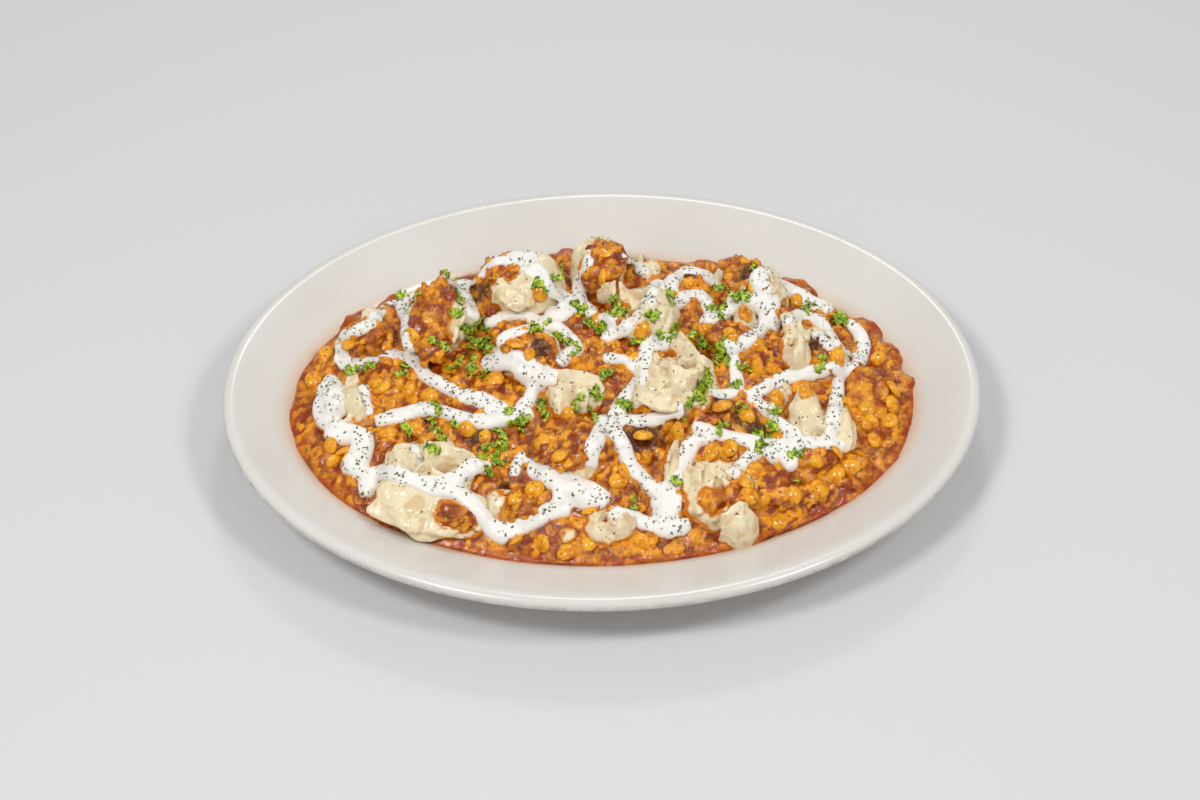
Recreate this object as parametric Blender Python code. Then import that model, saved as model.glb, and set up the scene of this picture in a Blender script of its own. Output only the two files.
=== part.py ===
"""A platter of mantu: steamed, open-topped dumplings of thin dough, half sunk in a tomato stew
of split peas and minced meat, under a poured drizzle of thick yogurt and chopped parsley.

Run it with: blender --background --python part.py
Metres, +Z up. The origin is the centre of the platter's foot, on the table. X is the platter's
long axis and Y its short one. Sizes below are written in millimetres.
"""

import math
import random
from typing import NamedTuple

import bmesh
import bpy
from mathutils import Matrix, Vector, noise
from mathutils.bvhtree import BVHTree

MM = 0.001
GAP = 0.35  # air between two solids that touch
SKY = 90.0  # above everything on the platter

# Platter: an oval with a broad sloping rim, a rounded lip, a deep well and a low foot
PLATTER_HALF_LENGTH = 165
PLATTER_HALF_WIDTH = 120
PLATTER_SEGMENTS = 44
WIDTH_INSET_SCALE = 1.1  # the rim is a tenth broader on the two long sides
UNDERSIDE = (  # inset from the outer edge and height, from the lip down to inside the foot
    (0.0, 31.0),
    (1.6, 28.4),
    (24.0, 17.4),
    (33.0, 8.0),
    (44.0, 3.4),
    (50.0, 0.0),
    (54.5, 0.0),
    (56.5, 2.6),
)
INSIDE = (  # the same, from the lip over the rim and its shoulder to the floor of the well
    (1.0, 33.1),
    (3.6, 34.0),
    (7.0, 32.8),
    (24.5, 22.0),
    (28.5, 19.2),
    (35.0, 11.8),
    (44.0, 8.2),
    (58.0, 7.4),
)

# Stew: fills the well to just under the shoulder and heaps up in the middle
STEW_HALF_LENGTH = 136.0
STEW_HALF_WIDTH = 87.6
STEW_EDGE_LEVEL = 19.4
STEW_HEAP = 16.0
STEW_HEAP_POWER = 2.5
STEW_LUMP_HEIGHT = 2.0
STEW_LUMP_SIZE = 11.0
STEW_SEGMENTS = 32
STEW_UNDER_SHARES = (0.55, 0.80, 0.92)  # rings on the platter, as shares of the stew's reach
STEW_TOP_RINGS = 5
WELL_SEARCH_REACH = 0.6  # of the platter's half width, the most that the inside can be inset
WELL_SEARCH_STEPS = 20


class Dumpling(NamedTuple):
    """Place, size and folds of a dumpling. Its filling goes from 0, low and open, to 1, heaped."""

    x: float
    y: float
    half_width: float
    height: float
    base: float
    turn: float
    twist: float
    filling: float


DUMPLINGS = {
    "mantu_front_left": Dumpling(-75, -45, 21.5, 25, 13, 20, 12, 0.30),
    "mantu_left": Dumpling(-110, -5, 16.0, 20, 12, 10, 10, 0.40),
    "mantu_left_back": Dumpling(-104, 34, 12.7, 21, 14, 40, -8, 0.55),
    "mantu_back_left": Dumpling(-71, 38, 17.5, 27, 15, 30, 8, 1.00),
    "mantu_back": Dumpling(-33, 59, 19.0, 34, 15, 0, -6, 0.45),
    "mantu_back_middle": Dumpling(1, 69, 13.5, 29, 16, 25, 10, 1.00),
    "mantu_middle_left": Dumpling(-33, 16, 16.5, 25, 18, 50, 6, 1.00),
    "mantu_centre_left": Dumpling(-13, -11, 13.0, 24, 18, 15, 20, 0.20),
    "mantu_back_right": Dumpling(20, 38, 17.5, 28, 17, 5, 8, 0.35),
    "mantu_centre": Dumpling(33, -5, 20.0, 26, 17, 65, 35, 0.10),
    "mantu_right_back": Dumpling(70, 52, 16.5, 27, 15, 38, -12, 0.30),
    "mantu_right_middle": Dumpling(60, 20, 13.0, 23, 18, 20, 10, 0.60),
    "mantu_right": Dumpling(93, 16, 17.5, 24, 14, 10, 18, 0.30),
    "mantu_right_front": Dumpling(90, -27, 18.5, 24, 12, 60, -10, 0.35),
    "mantu_front_right": Dumpling(46, -57, 19.0, 23, 13, 35, 14, 0.30),
    "mantu_front": Dumpling(0, -69, 13.0, 18, 13, 10, 8, 0.50),
    "mantu_front_middle": Dumpling(-38, -61, 13.5, 20, 12, 30, -14, 0.70),
    "mantu_middle": Dumpling(-11, -41, 14.0, 24, 15, 5, 6, 1.00),
}
DOUGH_THICKNESS = 1.6  # as the open edges show it
DUMPLING_SEGMENTS = 12
COLUMN_SIDES = 12
# Each ring of a dumpling's wall is a share of its half width and of its height. Above the belly
# the wall differs between the four gathered corners and the loops of free edge between them.
BELLY = ((0.86, 0.00), (1.00, 0.32), (0.94, 0.60))
CORNER_WALL = ((0.58, 0.84), (0.15, 1.00))
LOOP_WALL = ((0.90, 0.76), (0.74, 0.86))
CORNER_SHARPNESS = 1.3
CORNER_RISE = (-0.08, 0.12)  # how much shorter or taller than that each corner may be
LOOP_REACH = (-0.10, 0.12)  # how much narrower or wider each loop may be
EDGE_DIP = 0.01  # the inner side of the free edge, below the outer one
LEAST_EDGE_RADIUS = 0.9
MOUTH_SHARE = 0.7  # the mouth's radius at the filling, as a share of the free edge's
LEAST_MOUTH_RADIUS = 0.7
LOW_FILLING = 0.50  # the filling's height, as a share of the dumpling's, at 0
FILLING_RANGE = 0.52  # and what a filling of 1 adds
HEAPED_RISE = 0.04  # what a heaped filling adds to each ring above the belly
TOPPING_INSET = 0.1  # how far inside its column a topping is cut

# Toppings: their places were read as x, y where their lines of sight, from the eye above the front
# edge, cross a smooth mound over the well. They are slid along those lines onto the food.
EYE = Vector((-24, -668, 798))
MOUND_HALF_LENGTH = 140
MOUND_HALF_WIDTH = 92
MOUND_EDGE = 22
MOUND_RISE = 20
EDGE_MARGIN = 1.5  # air between a topping and the platter's wall

# Drizzle: each strand's width and the route of its middle
DRIZZLE_SECTION = ((1.0, -0.25), (0.55, 0.65), (-0.55, 0.65), (-1.0, -0.25))  # in half widths
DRIZZLE_STEP = 5.0  # between the points where the food under a strand is measured
DRIZZLE_SMOOTHING = 2
DRIZZLE_SLACK = 1.3  # how far a strand may pass by such a point, to do without it
DRIZZLE_END_RADIUS = 0.7  # a strand's ends, as a share of its width
WELD = 0.01
DRIZZLE = (
    (6.5, (-73, 72), (-86, 58), (-87, 33), (-81, 15)),
    (6.5, (-97, 62), (-100, 45), (-117, 36), (-116, 16), (-123, -7), (-118, -18)),
    (12.0, (-119, -19), (-109, -41)),
    (6.5, (-110, 16), (-90, 17), (-61, -11), (-40, -23)),
    (7.0, (-73, 72), (-62, 55), (-57, 34)),
    (9.0, (-34, 80), (-28, 66), (-17, 49), (-14, 39), (-22, 35)),
    (7.0, (-2, 80), (-9, 55), (-3, 33)),
    (6.5, (-51, 29), (-38, 34), (-18, 25), (-13, 9)),
    (8.0, (-52, 8), (-28, -2), (-37, -23)),
    (7.5, (-103, -24), (-78, -16), (-58, -25), (-34, -24)),
    (8.0, (-102, -52), (-92, -44), (-58, -60), (-48, -74), (-17, -67)),
    (8.0, (-33, -49), (-19, -62), (2, -69)),
    (7.5, (0, -26), (8, -43), (21, -63), (33, -50), (39, -38)),
    (14.0, (24, -60), (24, -73)),
    (7.0, (37, -33), (53, -39), (98, -37)),
    (7.5, (103, -1), (101, -15), (97, -35)),
    (6.5, (62, -16), (77, -5), (109, 3)),
    (7.0, (62, -16), (82, -36)),
    (7.0, (110, 38), (117, 20), (104, 4)),
    (7.0, (53, 14), (68, 20), (79, 29)),
    (7.0, (34, 39), (44, 45), (49, 31), (62, 48), (77, 45), (77, 70)),
    (10.0, (85, 68), (105, 48)),
    (7.0, (32, 16), (19, 9), (14, -10), (0, -26)),
    (6.5, (4, -28), (35, -22)),
)

# Split peas, lumps of minced meat and shreds of parsley
PEA_RADIUS = 4.2
PEA_WIDTH = (0.85, 1.0)  # as a share of its length
PEA_THICKNESS = 0.7
PEA_TILT = 0.5  # radians
PEA_LIFT = 0.5
PEAS = (
    (-84, -4), (-92, -13), (-124, 22), (-119, -29), (-25, -83), (14, -83), (45, -81), (-82, 25),
    (61, -69), (71, -68), (70, -50), (90, -53), (100, -50), (108, -41), (87, -61), (115, -15),
    (124, -20), (113, -28), (127, -2), (5, 13), (122, 22), (-62, -80),
)
LUMP_RADIUS = (5.0, 8.0)
LUMP_SEGMENTS = 7
LUMP_RINGS = 4
LUMP_ROUGHNESS = 0.35
LUMP_ROUGHNESS_SIZE = 4
LUMP_FLATNESS = 0.55
LUMPS = (
    (-63, -67), (-97, -58), (-73, 40), (-52, 33), (-14, 82), (-30, 12), (-50, -8), (-11, -40),
    (50, -26), (76, 34), (90, 58), (-20, -62), (40, 60),
)
LEAF_SIZE = (3.0, 5.5)
LEAF_THICKNESS = 0.7
LEAF_ARCH = 0.35  # the middle's rise, as a share of half its length
LEAF_LIFT = 0.3
LEAVES = (
    (-57, 27), (-52, 18), (-64, 8), (-55, 0), (-28, 30), (-71, -22), (-42, -32), (-46, -41),
    (-7, -22), (7, 35), (48, 16), (107, 40), (51, -4), (37, -20),
)


def clear_scene():
    for old in list(bpy.data.objects):
        bpy.data.objects.remove(old, do_unlink=True)


def new_collection(name):
    made = bpy.data.collections.new(name)
    bpy.context.scene.collection.children.link(made)
    return made


def material(name, colour, roughness):
    made = bpy.data.materials.new(name)
    made.use_nodes = True
    shader = made.node_tree.nodes["Principled BSDF"]
    shader.inputs["Base Color"].default_value = (*colour, 1.0)
    shader.inputs["Roughness"].default_value = roughness
    shader.inputs["Metallic"].default_value = 0.0
    return made


def add_object(name, bm, collection, finish=None):
    """A new object from a bmesh in millimetres, which is freed."""
    bmesh.ops.scale(bm, vec=(MM, MM, MM), verts=bm.verts)
    bmesh.ops.recalc_face_normals(bm, faces=bm.faces)
    mesh = bpy.data.meshes.new(name)
    bm.to_mesh(mesh)
    bm.free()
    made = bpy.data.objects.new(name, mesh)
    collection.objects.link(made)
    if finish:
        mesh.materials.append(finish)
    return made


def oval_ring(bm, half_length, half_width, height, segments):
    """A ring of vertices on an ellipse. Returns its edges."""
    made = bmesh.ops.create_circle(bm, radius=1.0, segments=segments)["verts"]
    bmesh.ops.scale(bm, vec=(half_length, half_width, 1.0), verts=made)
    bmesh.ops.translate(bm, vec=(0, 0, height), verts=made)
    return list({edge for vert in made for edge in vert.link_edges})


def build_platter(collection):
    """Glazed china: rings bridged in turn from inside the foot to the middle of the well."""
    bm = bmesh.new()
    rings = []
    for inset, height in UNDERSIDE[::-1] + INSIDE:
        half_length = PLATTER_HALF_LENGTH - inset
        half_width = PLATTER_HALF_WIDTH - WIDTH_INSET_SCALE * inset
        rings.append(oval_ring(bm, half_length, half_width, height, PLATTER_SEGMENTS))
    for lower, upper in zip(rings, rings[1:]):
        bmesh.ops.bridge_loops(bm, edges=lower + upper)
    bmesh.ops.contextual_create(bm, geom=rings[0])
    bmesh.ops.contextual_create(bm, geom=rings[-1])
    platter = add_object("platter", bm, collection, material("glazed_china", (0.79, 0.77, 0.74), 0.12))
    platter.data.shade_smooth()
    platter.data.set_sharp_from_angle(angle=math.radians(40))
    return platter


def well_height(x, y):
    """Height of the platter's inside at x, y: halves a range until the oval through them is found."""
    low, high = 0.0, WELL_SEARCH_REACH * PLATTER_HALF_WIDTH
    for _ in range(WELL_SEARCH_STEPS):
        inset = 0.5 * (low + high)
        across = y / (PLATTER_HALF_WIDTH - WIDTH_INSET_SCALE * inset)
        if math.hypot(x / (PLATTER_HALF_LENGTH - inset), across) < 1:
            low = inset
        else:
            high = inset
    for (outer, top), (inner, bottom) in zip(INSIDE, INSIDE[1:]):
        if inset <= inner:
            return top + (bottom - top) * (inset - outer) / (inner - outer)
    return INSIDE[-1][1]


def stew_height(x, y):
    """Height of the stew's top at x, y, with lumps that fade towards its edge."""
    share = min(1.0, math.hypot(x / STEW_HALF_LENGTH, y / STEW_HALF_WIDTH))
    lump = noise.noise(Vector((x, y, 0)) / STEW_LUMP_SIZE) * min(1.0, 8 * (1 - share))
    return STEW_EDGE_LEVEL + STEW_HEAP * (1 - share**STEW_HEAP_POWER) + STEW_LUMP_HEIGHT * lump


def sphere_levels(bm, segments, rings):
    """A sphere's vertices, each with its angle and its ring, counted from 0 at the lower pole."""
    made = bmesh.ops.create_uvsphere(bm, u_segments=segments, v_segments=rings + 1, radius=1.0)
    for vert in made["verts"]:
        slope = math.asin(max(-1.0, min(1.0, vert.co.z)))
        yield vert, math.atan2(vert.co.y, vert.co.x), round((slope / math.pi + 0.5) * (rings + 1))


def build_stew(collection):
    """The stew's core, a sphere pressed into the well: its lower rings follow the platter."""
    bm = bmesh.new()
    under = len(STEW_UNDER_SHARES)
    for vert, angle, level in sphere_levels(bm, STEW_SEGMENTS, under + STEW_TOP_RINGS):
        if 0 < level <= under:
            share = STEW_UNDER_SHARES[level - 1]
        else:
            share = max(0.0, 1 - (level - under - 1) / STEW_TOP_RINGS) if level else 0.0
        x = STEW_HALF_LENGTH * share * math.cos(angle)
        y = STEW_HALF_WIDTH * share * math.sin(angle)
        height = well_height(x, y) + 2 * GAP if level <= under else stew_height(x, y)
        vert.co = (x, y, height)
    return add_object("stew", bm, collection, material("split_pea_stew", (0.60, 0.20, 0.03), 0.3))


def dumpling_rings(dumpling, angle, corner_rise, loop_reach):
    """(radius, height, twist share) of a dumpling's rings at one angle from its first corner: up
    the wall, over the edge of the dough, and down to the filling."""
    corner = (0.5 + 0.5 * math.cos(4 * angle)) ** CORNER_SHARPNESS
    taller = corner * corner_rise[round(2 * angle / math.pi) % 4]
    wider = (1 - corner) * loop_reach[math.floor(2 * angle / math.pi) % 4]
    rings = [(radius, height, 0.0) for radius, height in BELLY]
    for level, (gathered, free) in enumerate(zip(CORNER_WALL, LOOP_WALL), start=1):
        radius = free[0] + corner * (gathered[0] - free[0])
        height = free[1] + corner * (gathered[1] - free[1])
        if dumpling.filling == 1:
            radius, height = 0.5 * (radius + free[0]), height + HEAPED_RISE * level
        grown = 0.5 * level
        rings.append((radius * (1 + grown * wider), height * (1 + grown * taller), grown))
    rings = [(radius * dumpling.half_width, height, twisted) for radius, height, twisted in rings]
    radius, height, _ = rings[-1]
    filling = filling_height(dumpling)
    rings.append((max(radius - DOUGH_THICKNESS, LEAST_EDGE_RADIUS), height - EDGE_DIP, 1.0))
    mouth = max(MOUTH_SHARE * radius - DOUGH_THICKNESS, LEAST_MOUTH_RADIUS)
    rings.append((mouth, 0.45 * height + 0.55 * filling, 1.0))
    return rings


def filling_height(dumpling):
    """Height of the filling, as a share of the dumpling's."""
    return LOW_FILLING + FILLING_RANGE * dumpling.filling


def build_dumpling(name, dumpling, collection, finish, seed):
    """A pouch from a sphere: its lower rings are the belly, the upper ones the folded dough."""
    draw = random.Random(seed)
    corner_rise = [draw.uniform(*CORNER_RISE) for _ in range(4)]
    loop_reach = [draw.uniform(*LOOP_REACH) for _ in range(4)]
    rings = len(BELLY) + len(CORNER_WALL) + 2
    bm = bmesh.new()
    for vert, angle, level in sphere_levels(bm, DUMPLING_SEGMENTS, rings):
        profile = dumpling_rings(dumpling, angle, corner_rise, loop_reach)
        profile = [(0.0, 0.0, 0.0)] + profile + [(0.0, filling_height(dumpling), 0.0)]
        radius, height, twisted = profile[level]
        turned = angle + math.radians(dumpling.turn + twisted * dumpling.twist)
        vert.co = (radius * math.cos(turned), radius * math.sin(turned), height * dumpling.height)
    bmesh.ops.translate(bm, vec=(dumpling.x, dumpling.y, dumpling.base), verts=bm.verts)
    return add_object(name, bm, collection, finish)


def build_column(name, dumpling, clearance, collection):
    """The space a dumpling and what lies on it may fill, straight up from under its belly."""
    bm = bmesh.new()
    height = SKY - dumpling.base
    radius = (dumpling.half_width + clearance) / math.cos(math.pi / COLUMN_SIDES)
    bmesh.ops.create_cone(
        bm, cap_ends=True, segments=COLUMN_SIDES, radius1=radius, radius2=radius, depth=height
    )
    middle = (dumpling.x, dumpling.y, dumpling.base - clearance + 0.5 * height)
    bmesh.ops.translate(bm, vec=middle, verts=bm.verts)
    column = add_object(name, bm, collection)
    column.hide_render = True
    column.display_type = "WIRE"
    return column


def apply_modifiers(target):
    graph = bpy.context.evaluated_depsgraph_get()
    made = bpy.data.meshes.new_from_object(target.evaluated_get(graph))
    target.modifiers.clear()
    old = target.data
    target.data = made
    made.name = target.name
    bpy.data.meshes.remove(old)


def apply_boolean(target, operation, cutter=None, cutters=None):
    """Joins, cuts or keeps the overlap of a body with an object or a collection of them."""
    modifier = target.modifiers.new(operation.lower(), "BOOLEAN")
    modifier.operation = operation
    modifier.solver = "MANIFOLD"
    if cutters:
        modifier.operand_type = "COLLECTION"
        modifier.collection = cutters
    else:
        modifier.object = cutter
    apply_modifiers(target)


def keep_largest_body(target):
    """Drops loose scraps and the walls of sealed bubbles: all faces but the largest joined set."""
    bm = bmesh.new()
    bm.from_mesh(target.data)
    left = set(bm.faces)
    bodies = []
    while left:
        body = []
        front = [left.pop()]
        while front:
            face = front.pop()
            body.append(face)
            for edge in face.edges:
                for other in edge.link_faces:
                    if other in left:
                        left.discard(other)
                        front.append(other)
        bodies.append(body)
    bodies.sort(key=len)
    for body in bodies[:-1]:
        bmesh.ops.delete(bm, geom=body, context="FACES")
    bm.to_mesh(target.data)
    bm.free()


def first_hit(trees, start, direction):
    """The nearest point of some bodies along a ray, or None."""
    hits = [tree.ray_cast(start * MM, direction)[0] for tree in trees]
    hits = [hit / MM for hit in hits if hit]
    return min(hits, key=lambda hit: (hit - start).length) if hits else None


def place_seen(trees, x, y, margin):
    """Where a topping lies that is seen at x, y of the mound: on the first food along its line of
    sight, or as far from the stew's edge as the margin asks."""
    rise = max(0.0, 1 - math.hypot(x / MOUND_HALF_LENGTH, y / MOUND_HALF_WIDTH) ** 3)
    seen = Vector((x, y, MOUND_EDGE + MOUND_RISE * rise))
    place = first_hit(trees, EYE, (seen - EYE).normalized()) or seen
    share = math.hypot(place.x / (STEW_HALF_LENGTH - margin), place.y / (STEW_HALF_WIDTH - margin))
    if share > 1:
        x, y = place.x / share, place.y / share
        place = Vector((x, y, stew_height(x, y)))
    return place


def walk(route, step):
    """Points every step or so along a route, its own points included."""
    points = [Vector(route[0])]
    for start, end in zip(route, route[1:]):
        start, end = Vector(start), Vector(end)
        pieces = max(1, round((end - start).length / step))
        points += [start.lerp(end, i / pieces) for i in range(1, pieces + 1)]
    return points


def straightened(points, slack):
    """The points of a route without those that a straight piece passes within the slack."""
    if len(points) < 3:
        return points
    first, last = points[0], points[-1]
    along = last - first
    away = []
    for point in points[1:-1]:
        share = (point - first).dot(along) / along.length_squared
        away.append((point - first - share * along).length)
    if max(away) < slack:
        return [first, last]
    middle = away.index(max(away)) + 1
    return straightened(points[: middle + 1], slack)[:-1] + straightened(points[middle:], slack)


def poly_curve(name, points, collection):
    """A curve object of straight pieces through some points in metres."""
    curve = bpy.data.curves.new(name, "CURVE")
    curve.dimensions = "3D"
    spline = curve.splines.new("POLY")
    spline.points.add(len(points) - 1)
    for knot, point in zip(spline.points, points):
        knot.co = (*point, 1.0)
    made = bpy.data.objects.new(name, curve)
    collection.objects.link(made)
    return made


def pour_strand(name, width, route, trees, collection):
    """A strand of yogurt with a flat underside, laid along what is under it."""
    margin = 0.5 * width + EDGE_MARGIN
    middle = [place_seen(trees, *point, margin) for point in walk(route, DRIZZLE_STEP)]
    for _ in range(DRIZZLE_SMOOTHING):
        inner = zip(middle, middle[1:], middle[2:])
        eased = [0.5 * here + 0.25 * (before + after) for before, here, after in inner]
        middle = middle[:1] + eased + middle[-1:]
    middle = [point * MM for point in straightened(middle, DRIZZLE_SLACK)]
    strand = poly_curve(name, middle, collection)
    section = [Vector((0.5 * width * x, 0.5 * width * y, 0)) * MM for x, y in DRIZZLE_SECTION]
    outline = poly_curve("outline", section, collection)
    outline.data.splines[0].use_cyclic_u = True
    strand.data.twist_mode = "Z_UP"
    strand.data.bevel_mode = "OBJECT"
    strand.data.bevel_object = outline
    strand.data.use_fill_caps = True
    for end in (0, -1):
        strand.data.splines[0].points[end].radius = DRIZZLE_END_RADIUS
    mesh = bpy.data.meshes.new_from_object(strand.evaluated_get(bpy.context.evaluated_depsgraph_get()))
    bpy.data.objects.remove(strand, do_unlink=True)
    bpy.data.objects.remove(outline, do_unlink=True)
    bm = bmesh.new()
    bm.from_mesh(mesh)
    bpy.data.meshes.remove(mesh)
    bmesh.ops.scale(bm, vec=Vector((1, 1, 1)) / MM, verts=bm.verts)
    bmesh.ops.remove_doubles(bm, verts=bm.verts, dist=WELD)
    return add_object(name, bm, collection)


def drop_pea(name, place, draw, collection):
    """Half a pea, tipped a little."""
    bm = bmesh.new()
    bmesh.ops.create_icosphere(bm, subdivisions=1, radius=PEA_RADIUS)
    bmesh.ops.scale(bm, vec=(1.0, draw.uniform(*PEA_WIDTH), PEA_THICKNESS), verts=bm.verts)
    tilt = Matrix.Rotation(draw.uniform(-PEA_TILT, PEA_TILT), 3, "X")
    tilt = tilt @ Matrix.Rotation(draw.uniform(0, 6), 3, "Z")
    bmesh.ops.rotate(bm, matrix=tilt, verts=bm.verts)
    bmesh.ops.translate(bm, vec=place + Vector((0, 0, PEA_LIFT)), verts=bm.verts)
    return add_object(name, bm, collection)


def drop_lump(name, place, draw, collection):
    """A rough lump of minced meat and stew."""
    bm = bmesh.new()
    radius = draw.uniform(*LUMP_RADIUS)
    bmesh.ops.create_uvsphere(bm, u_segments=LUMP_SEGMENTS, v_segments=LUMP_RINGS, radius=radius)
    for vert in bm.verts:
        vert.co *= 1 + LUMP_ROUGHNESS * noise.noise((vert.co + place) / LUMP_ROUGHNESS_SIZE)
    bmesh.ops.scale(bm, vec=(1, 1, LUMP_FLATNESS), verts=bm.verts)
    bmesh.ops.translate(bm, vec=place, verts=bm.verts)
    return add_object(name, bm, collection)


def drop_leaf(name, place, draw, collection):
    """A shred of parsley: a thin strip, arched so that both ends touch the food."""
    bm = bmesh.new()
    size = draw.uniform(*LEAF_SIZE)
    bmesh.ops.create_cube(bm, size=1.0)
    along = [edge for edge in bm.edges if abs((edge.verts[0].co - edge.verts[1].co).x) > 0.5]
    bmesh.ops.subdivide_edges(bm, edges=along, cuts=1)
    bmesh.ops.scale(bm, vec=(2 * size, size, LEAF_THICKNESS), verts=bm.verts)
    for vert in bm.verts:
        vert.co.z += LEAF_ARCH * (size - abs(vert.co.x))
    bmesh.ops.rotate(bm, matrix=Matrix.Rotation(draw.uniform(0, math.tau), 3, "Z"), verts=bm.verts)
    bmesh.ops.translate(bm, vec=place + Vector((0, 0, LEAF_LIFT)), verts=bm.verts)
    return add_object(name, bm, collection)


def build_toppings(bodies, draw):
    """All toppings as one body: what they lie on is measured first, then they are joined."""
    graph = bpy.context.evaluated_depsgraph_get()
    trees = [BVHTree.FromObject(body, graph) for body in bodies]
    loose = new_collection("toppings")
    margin = LUMP_RADIUS[1] + EDGE_MARGIN
    for number, (x, y) in enumerate(LUMPS):
        drop_lump(f"lump_{number}", place_seen(trees, x, y, margin), draw, loose)
    margin = PEA_RADIUS + EDGE_MARGIN
    for number, (x, y) in enumerate(PEAS):
        drop_pea(f"pea_{number}", place_seen(trees, x, y, margin), draw, loose)
    for number, (width, *route) in enumerate(DRIZZLE):
        pour_strand(f"strand_{number}", width, route, trees, loose)
    for number, (x, y) in enumerate(LEAVES):
        drop_leaf(f"leaf_{number}", place_seen(trees, x, y, margin), draw, loose)
    joined = loose.objects["strand_0"]
    bpy.context.scene.collection.objects.link(joined)
    loose.objects.unlink(joined)
    apply_boolean(joined, "UNION", cutters=loose)
    for used in list(loose.objects):
        bpy.data.objects.remove(used, do_unlink=True)
    return joined


def copy_of(source):
    made = source.copy()
    made.data = source.data.copy()
    bpy.context.scene.collection.objects.link(made)
    return made


def main():
    clear_scene()
    model = new_collection("mantu_platter")
    cutters = new_collection("cutters")
    dough = material("steamed_dough", (0.66, 0.60, 0.46), 0.35)
    build_platter(model)
    stew = build_stew(model)
    dumplings = []
    for seed, (name, dumpling) in enumerate(DUMPLINGS.items()):
        seat = build_column(f"seat_{name}", dumpling, GAP, cutters)
        apply_boolean(stew, "DIFFERENCE", seat)
        dumplings.append(build_dumpling(name, dumpling, model, dough, seed))
    toppings = build_toppings([stew] + dumplings, random.Random(5))
    on_stew = copy_of(toppings)
    for body, dumpling in zip(dumplings, DUMPLINGS.values()):
        on_top = copy_of(toppings)
        column = build_column(f"column_{body.name}", dumpling, -TOPPING_INSET, cutters)
        apply_boolean(on_top, "INTERSECT", column)
        apply_boolean(body, "UNION", on_top)
        keep_largest_body(body)
        bpy.data.objects.remove(on_top, do_unlink=True)
        apply_boolean(on_stew, "DIFFERENCE", cutters.objects[f"seat_{body.name}"])
    apply_boolean(stew, "UNION", on_stew)
    keep_largest_body(stew)
    bpy.data.objects.remove(on_stew, do_unlink=True)
    bpy.data.objects.remove(toppings, do_unlink=True)


main()
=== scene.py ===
"""A platter of mantu, as it comes to the table: steamed pouches of thin dough in a tomato stew of
split peas and minced meat, under poured yogurt, rubbed dried mint and chopped parsley.

Sizes are in millimetres and become metres when a piece's mesh is made.
"""

import math
import random

import bmesh
import bpy
from mathutils import Matrix, Vector, noise
from mathutils.bvhtree import BVHTree


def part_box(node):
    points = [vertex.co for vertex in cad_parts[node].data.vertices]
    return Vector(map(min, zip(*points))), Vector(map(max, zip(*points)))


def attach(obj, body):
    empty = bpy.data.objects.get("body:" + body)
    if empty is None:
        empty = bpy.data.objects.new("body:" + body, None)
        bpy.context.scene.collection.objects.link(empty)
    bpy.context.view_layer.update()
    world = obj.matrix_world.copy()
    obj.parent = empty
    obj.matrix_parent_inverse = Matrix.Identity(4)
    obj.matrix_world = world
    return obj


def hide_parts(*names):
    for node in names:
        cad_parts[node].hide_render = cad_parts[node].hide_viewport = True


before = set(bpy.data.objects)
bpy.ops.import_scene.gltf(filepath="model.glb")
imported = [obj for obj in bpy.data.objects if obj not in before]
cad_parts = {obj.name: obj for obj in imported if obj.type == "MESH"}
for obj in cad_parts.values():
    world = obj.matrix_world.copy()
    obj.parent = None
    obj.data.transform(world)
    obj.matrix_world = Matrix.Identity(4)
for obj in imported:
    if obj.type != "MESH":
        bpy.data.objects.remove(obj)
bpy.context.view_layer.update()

# View
# The platter is seen from its long front side, from well above it and about a metre away, as
# someone who stands at the table sees it.
MM = 0.001
VIEW_TARGET = Vector((-0.9, 1.5, 20.0))
VIEW_DISTANCE = 1026.5
VIEW_AZIMUTH = math.radians(-1.955)
VIEW_ELEVATION = math.radians(49.261)
LENS_LENGTH = 70

towards_eye = Vector(
    (
        math.sin(VIEW_AZIMUTH) * math.cos(VIEW_ELEVATION),
        -math.cos(VIEW_AZIMUTH) * math.cos(VIEW_ELEVATION),
        math.sin(VIEW_ELEVATION),
    )
)
EYE = VIEW_TARGET + VIEW_DISTANCE * towards_eye
camera = bpy.data.objects.new("camera", bpy.data.cameras.new("camera"))
camera.data.lens = LENS_LENGTH
camera.location = EYE * MM
camera.rotation_euler = (-towards_eye).to_track_quat("-Z", "Y").to_euler()
bpy.context.scene.collection.objects.link(camera)
bpy.context.scene.camera = camera

# Platter
# A deep oval serving platter of white stoneware under a clear glaze: a broad sloping rim with a
# rounded lip round a deep well, on a low foot. Stacking has worn a grey line along its lip.
PLATTER_SEGMENTS = 128
WIDTH_INSET_SCALE = 1.1  # the rim is a tenth broader on the two long sides
PLATTER_PROFILE = (  # inset from the outer edge and height, from under the well round the lip
    (70.0, 2.6), (57.0, 2.6), (55.2, 0.3), (54.5, 0.0), (50.4, 0.0), (49.4, 0.5), (44.0, 3.4),
    (38.0, 5.2), (33.0, 8.0), (28.0, 13.2), (24.0, 17.4), (13.0, 23.0), (3.4, 27.4), (1.4, 28.4),
    (0.2, 30.0), (0.0, 31.4), (0.6, 33.0), (2.0, 33.9), (4.4, 34.0), (7.0, 32.6), (12.0, 29.4),
    (18.0, 25.6), (23.0, 22.7), (26.0, 21.2), (28.5, 19.2), (31.5, 15.4), (35.0, 11.8),
    (39.0, 9.6), (44.0, 8.2), (58.0, 7.4),
)
GLAZE_WHITE = "#E2DFD9"
GLAZE_SHADE = "#D4D0C9"
WORN_GREY = "#8E8375"
# A warm tint painted on the wall beside the stew: painted bounce light from the food.
FOOD_BOUNCE_TINT = "#DDB07C"
GLAZE_MOTTLE = 45.0
GLAZE_RIPPLE = 9
WEAR_SIZE = 5.0
WORN_FROM = 0.993  # of the platter's half length and half width
FOOD_BOUNCE_TO = 1.07  # of the stew's half length and half width
STEW_HALF_LENGTH = 136.0
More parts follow.
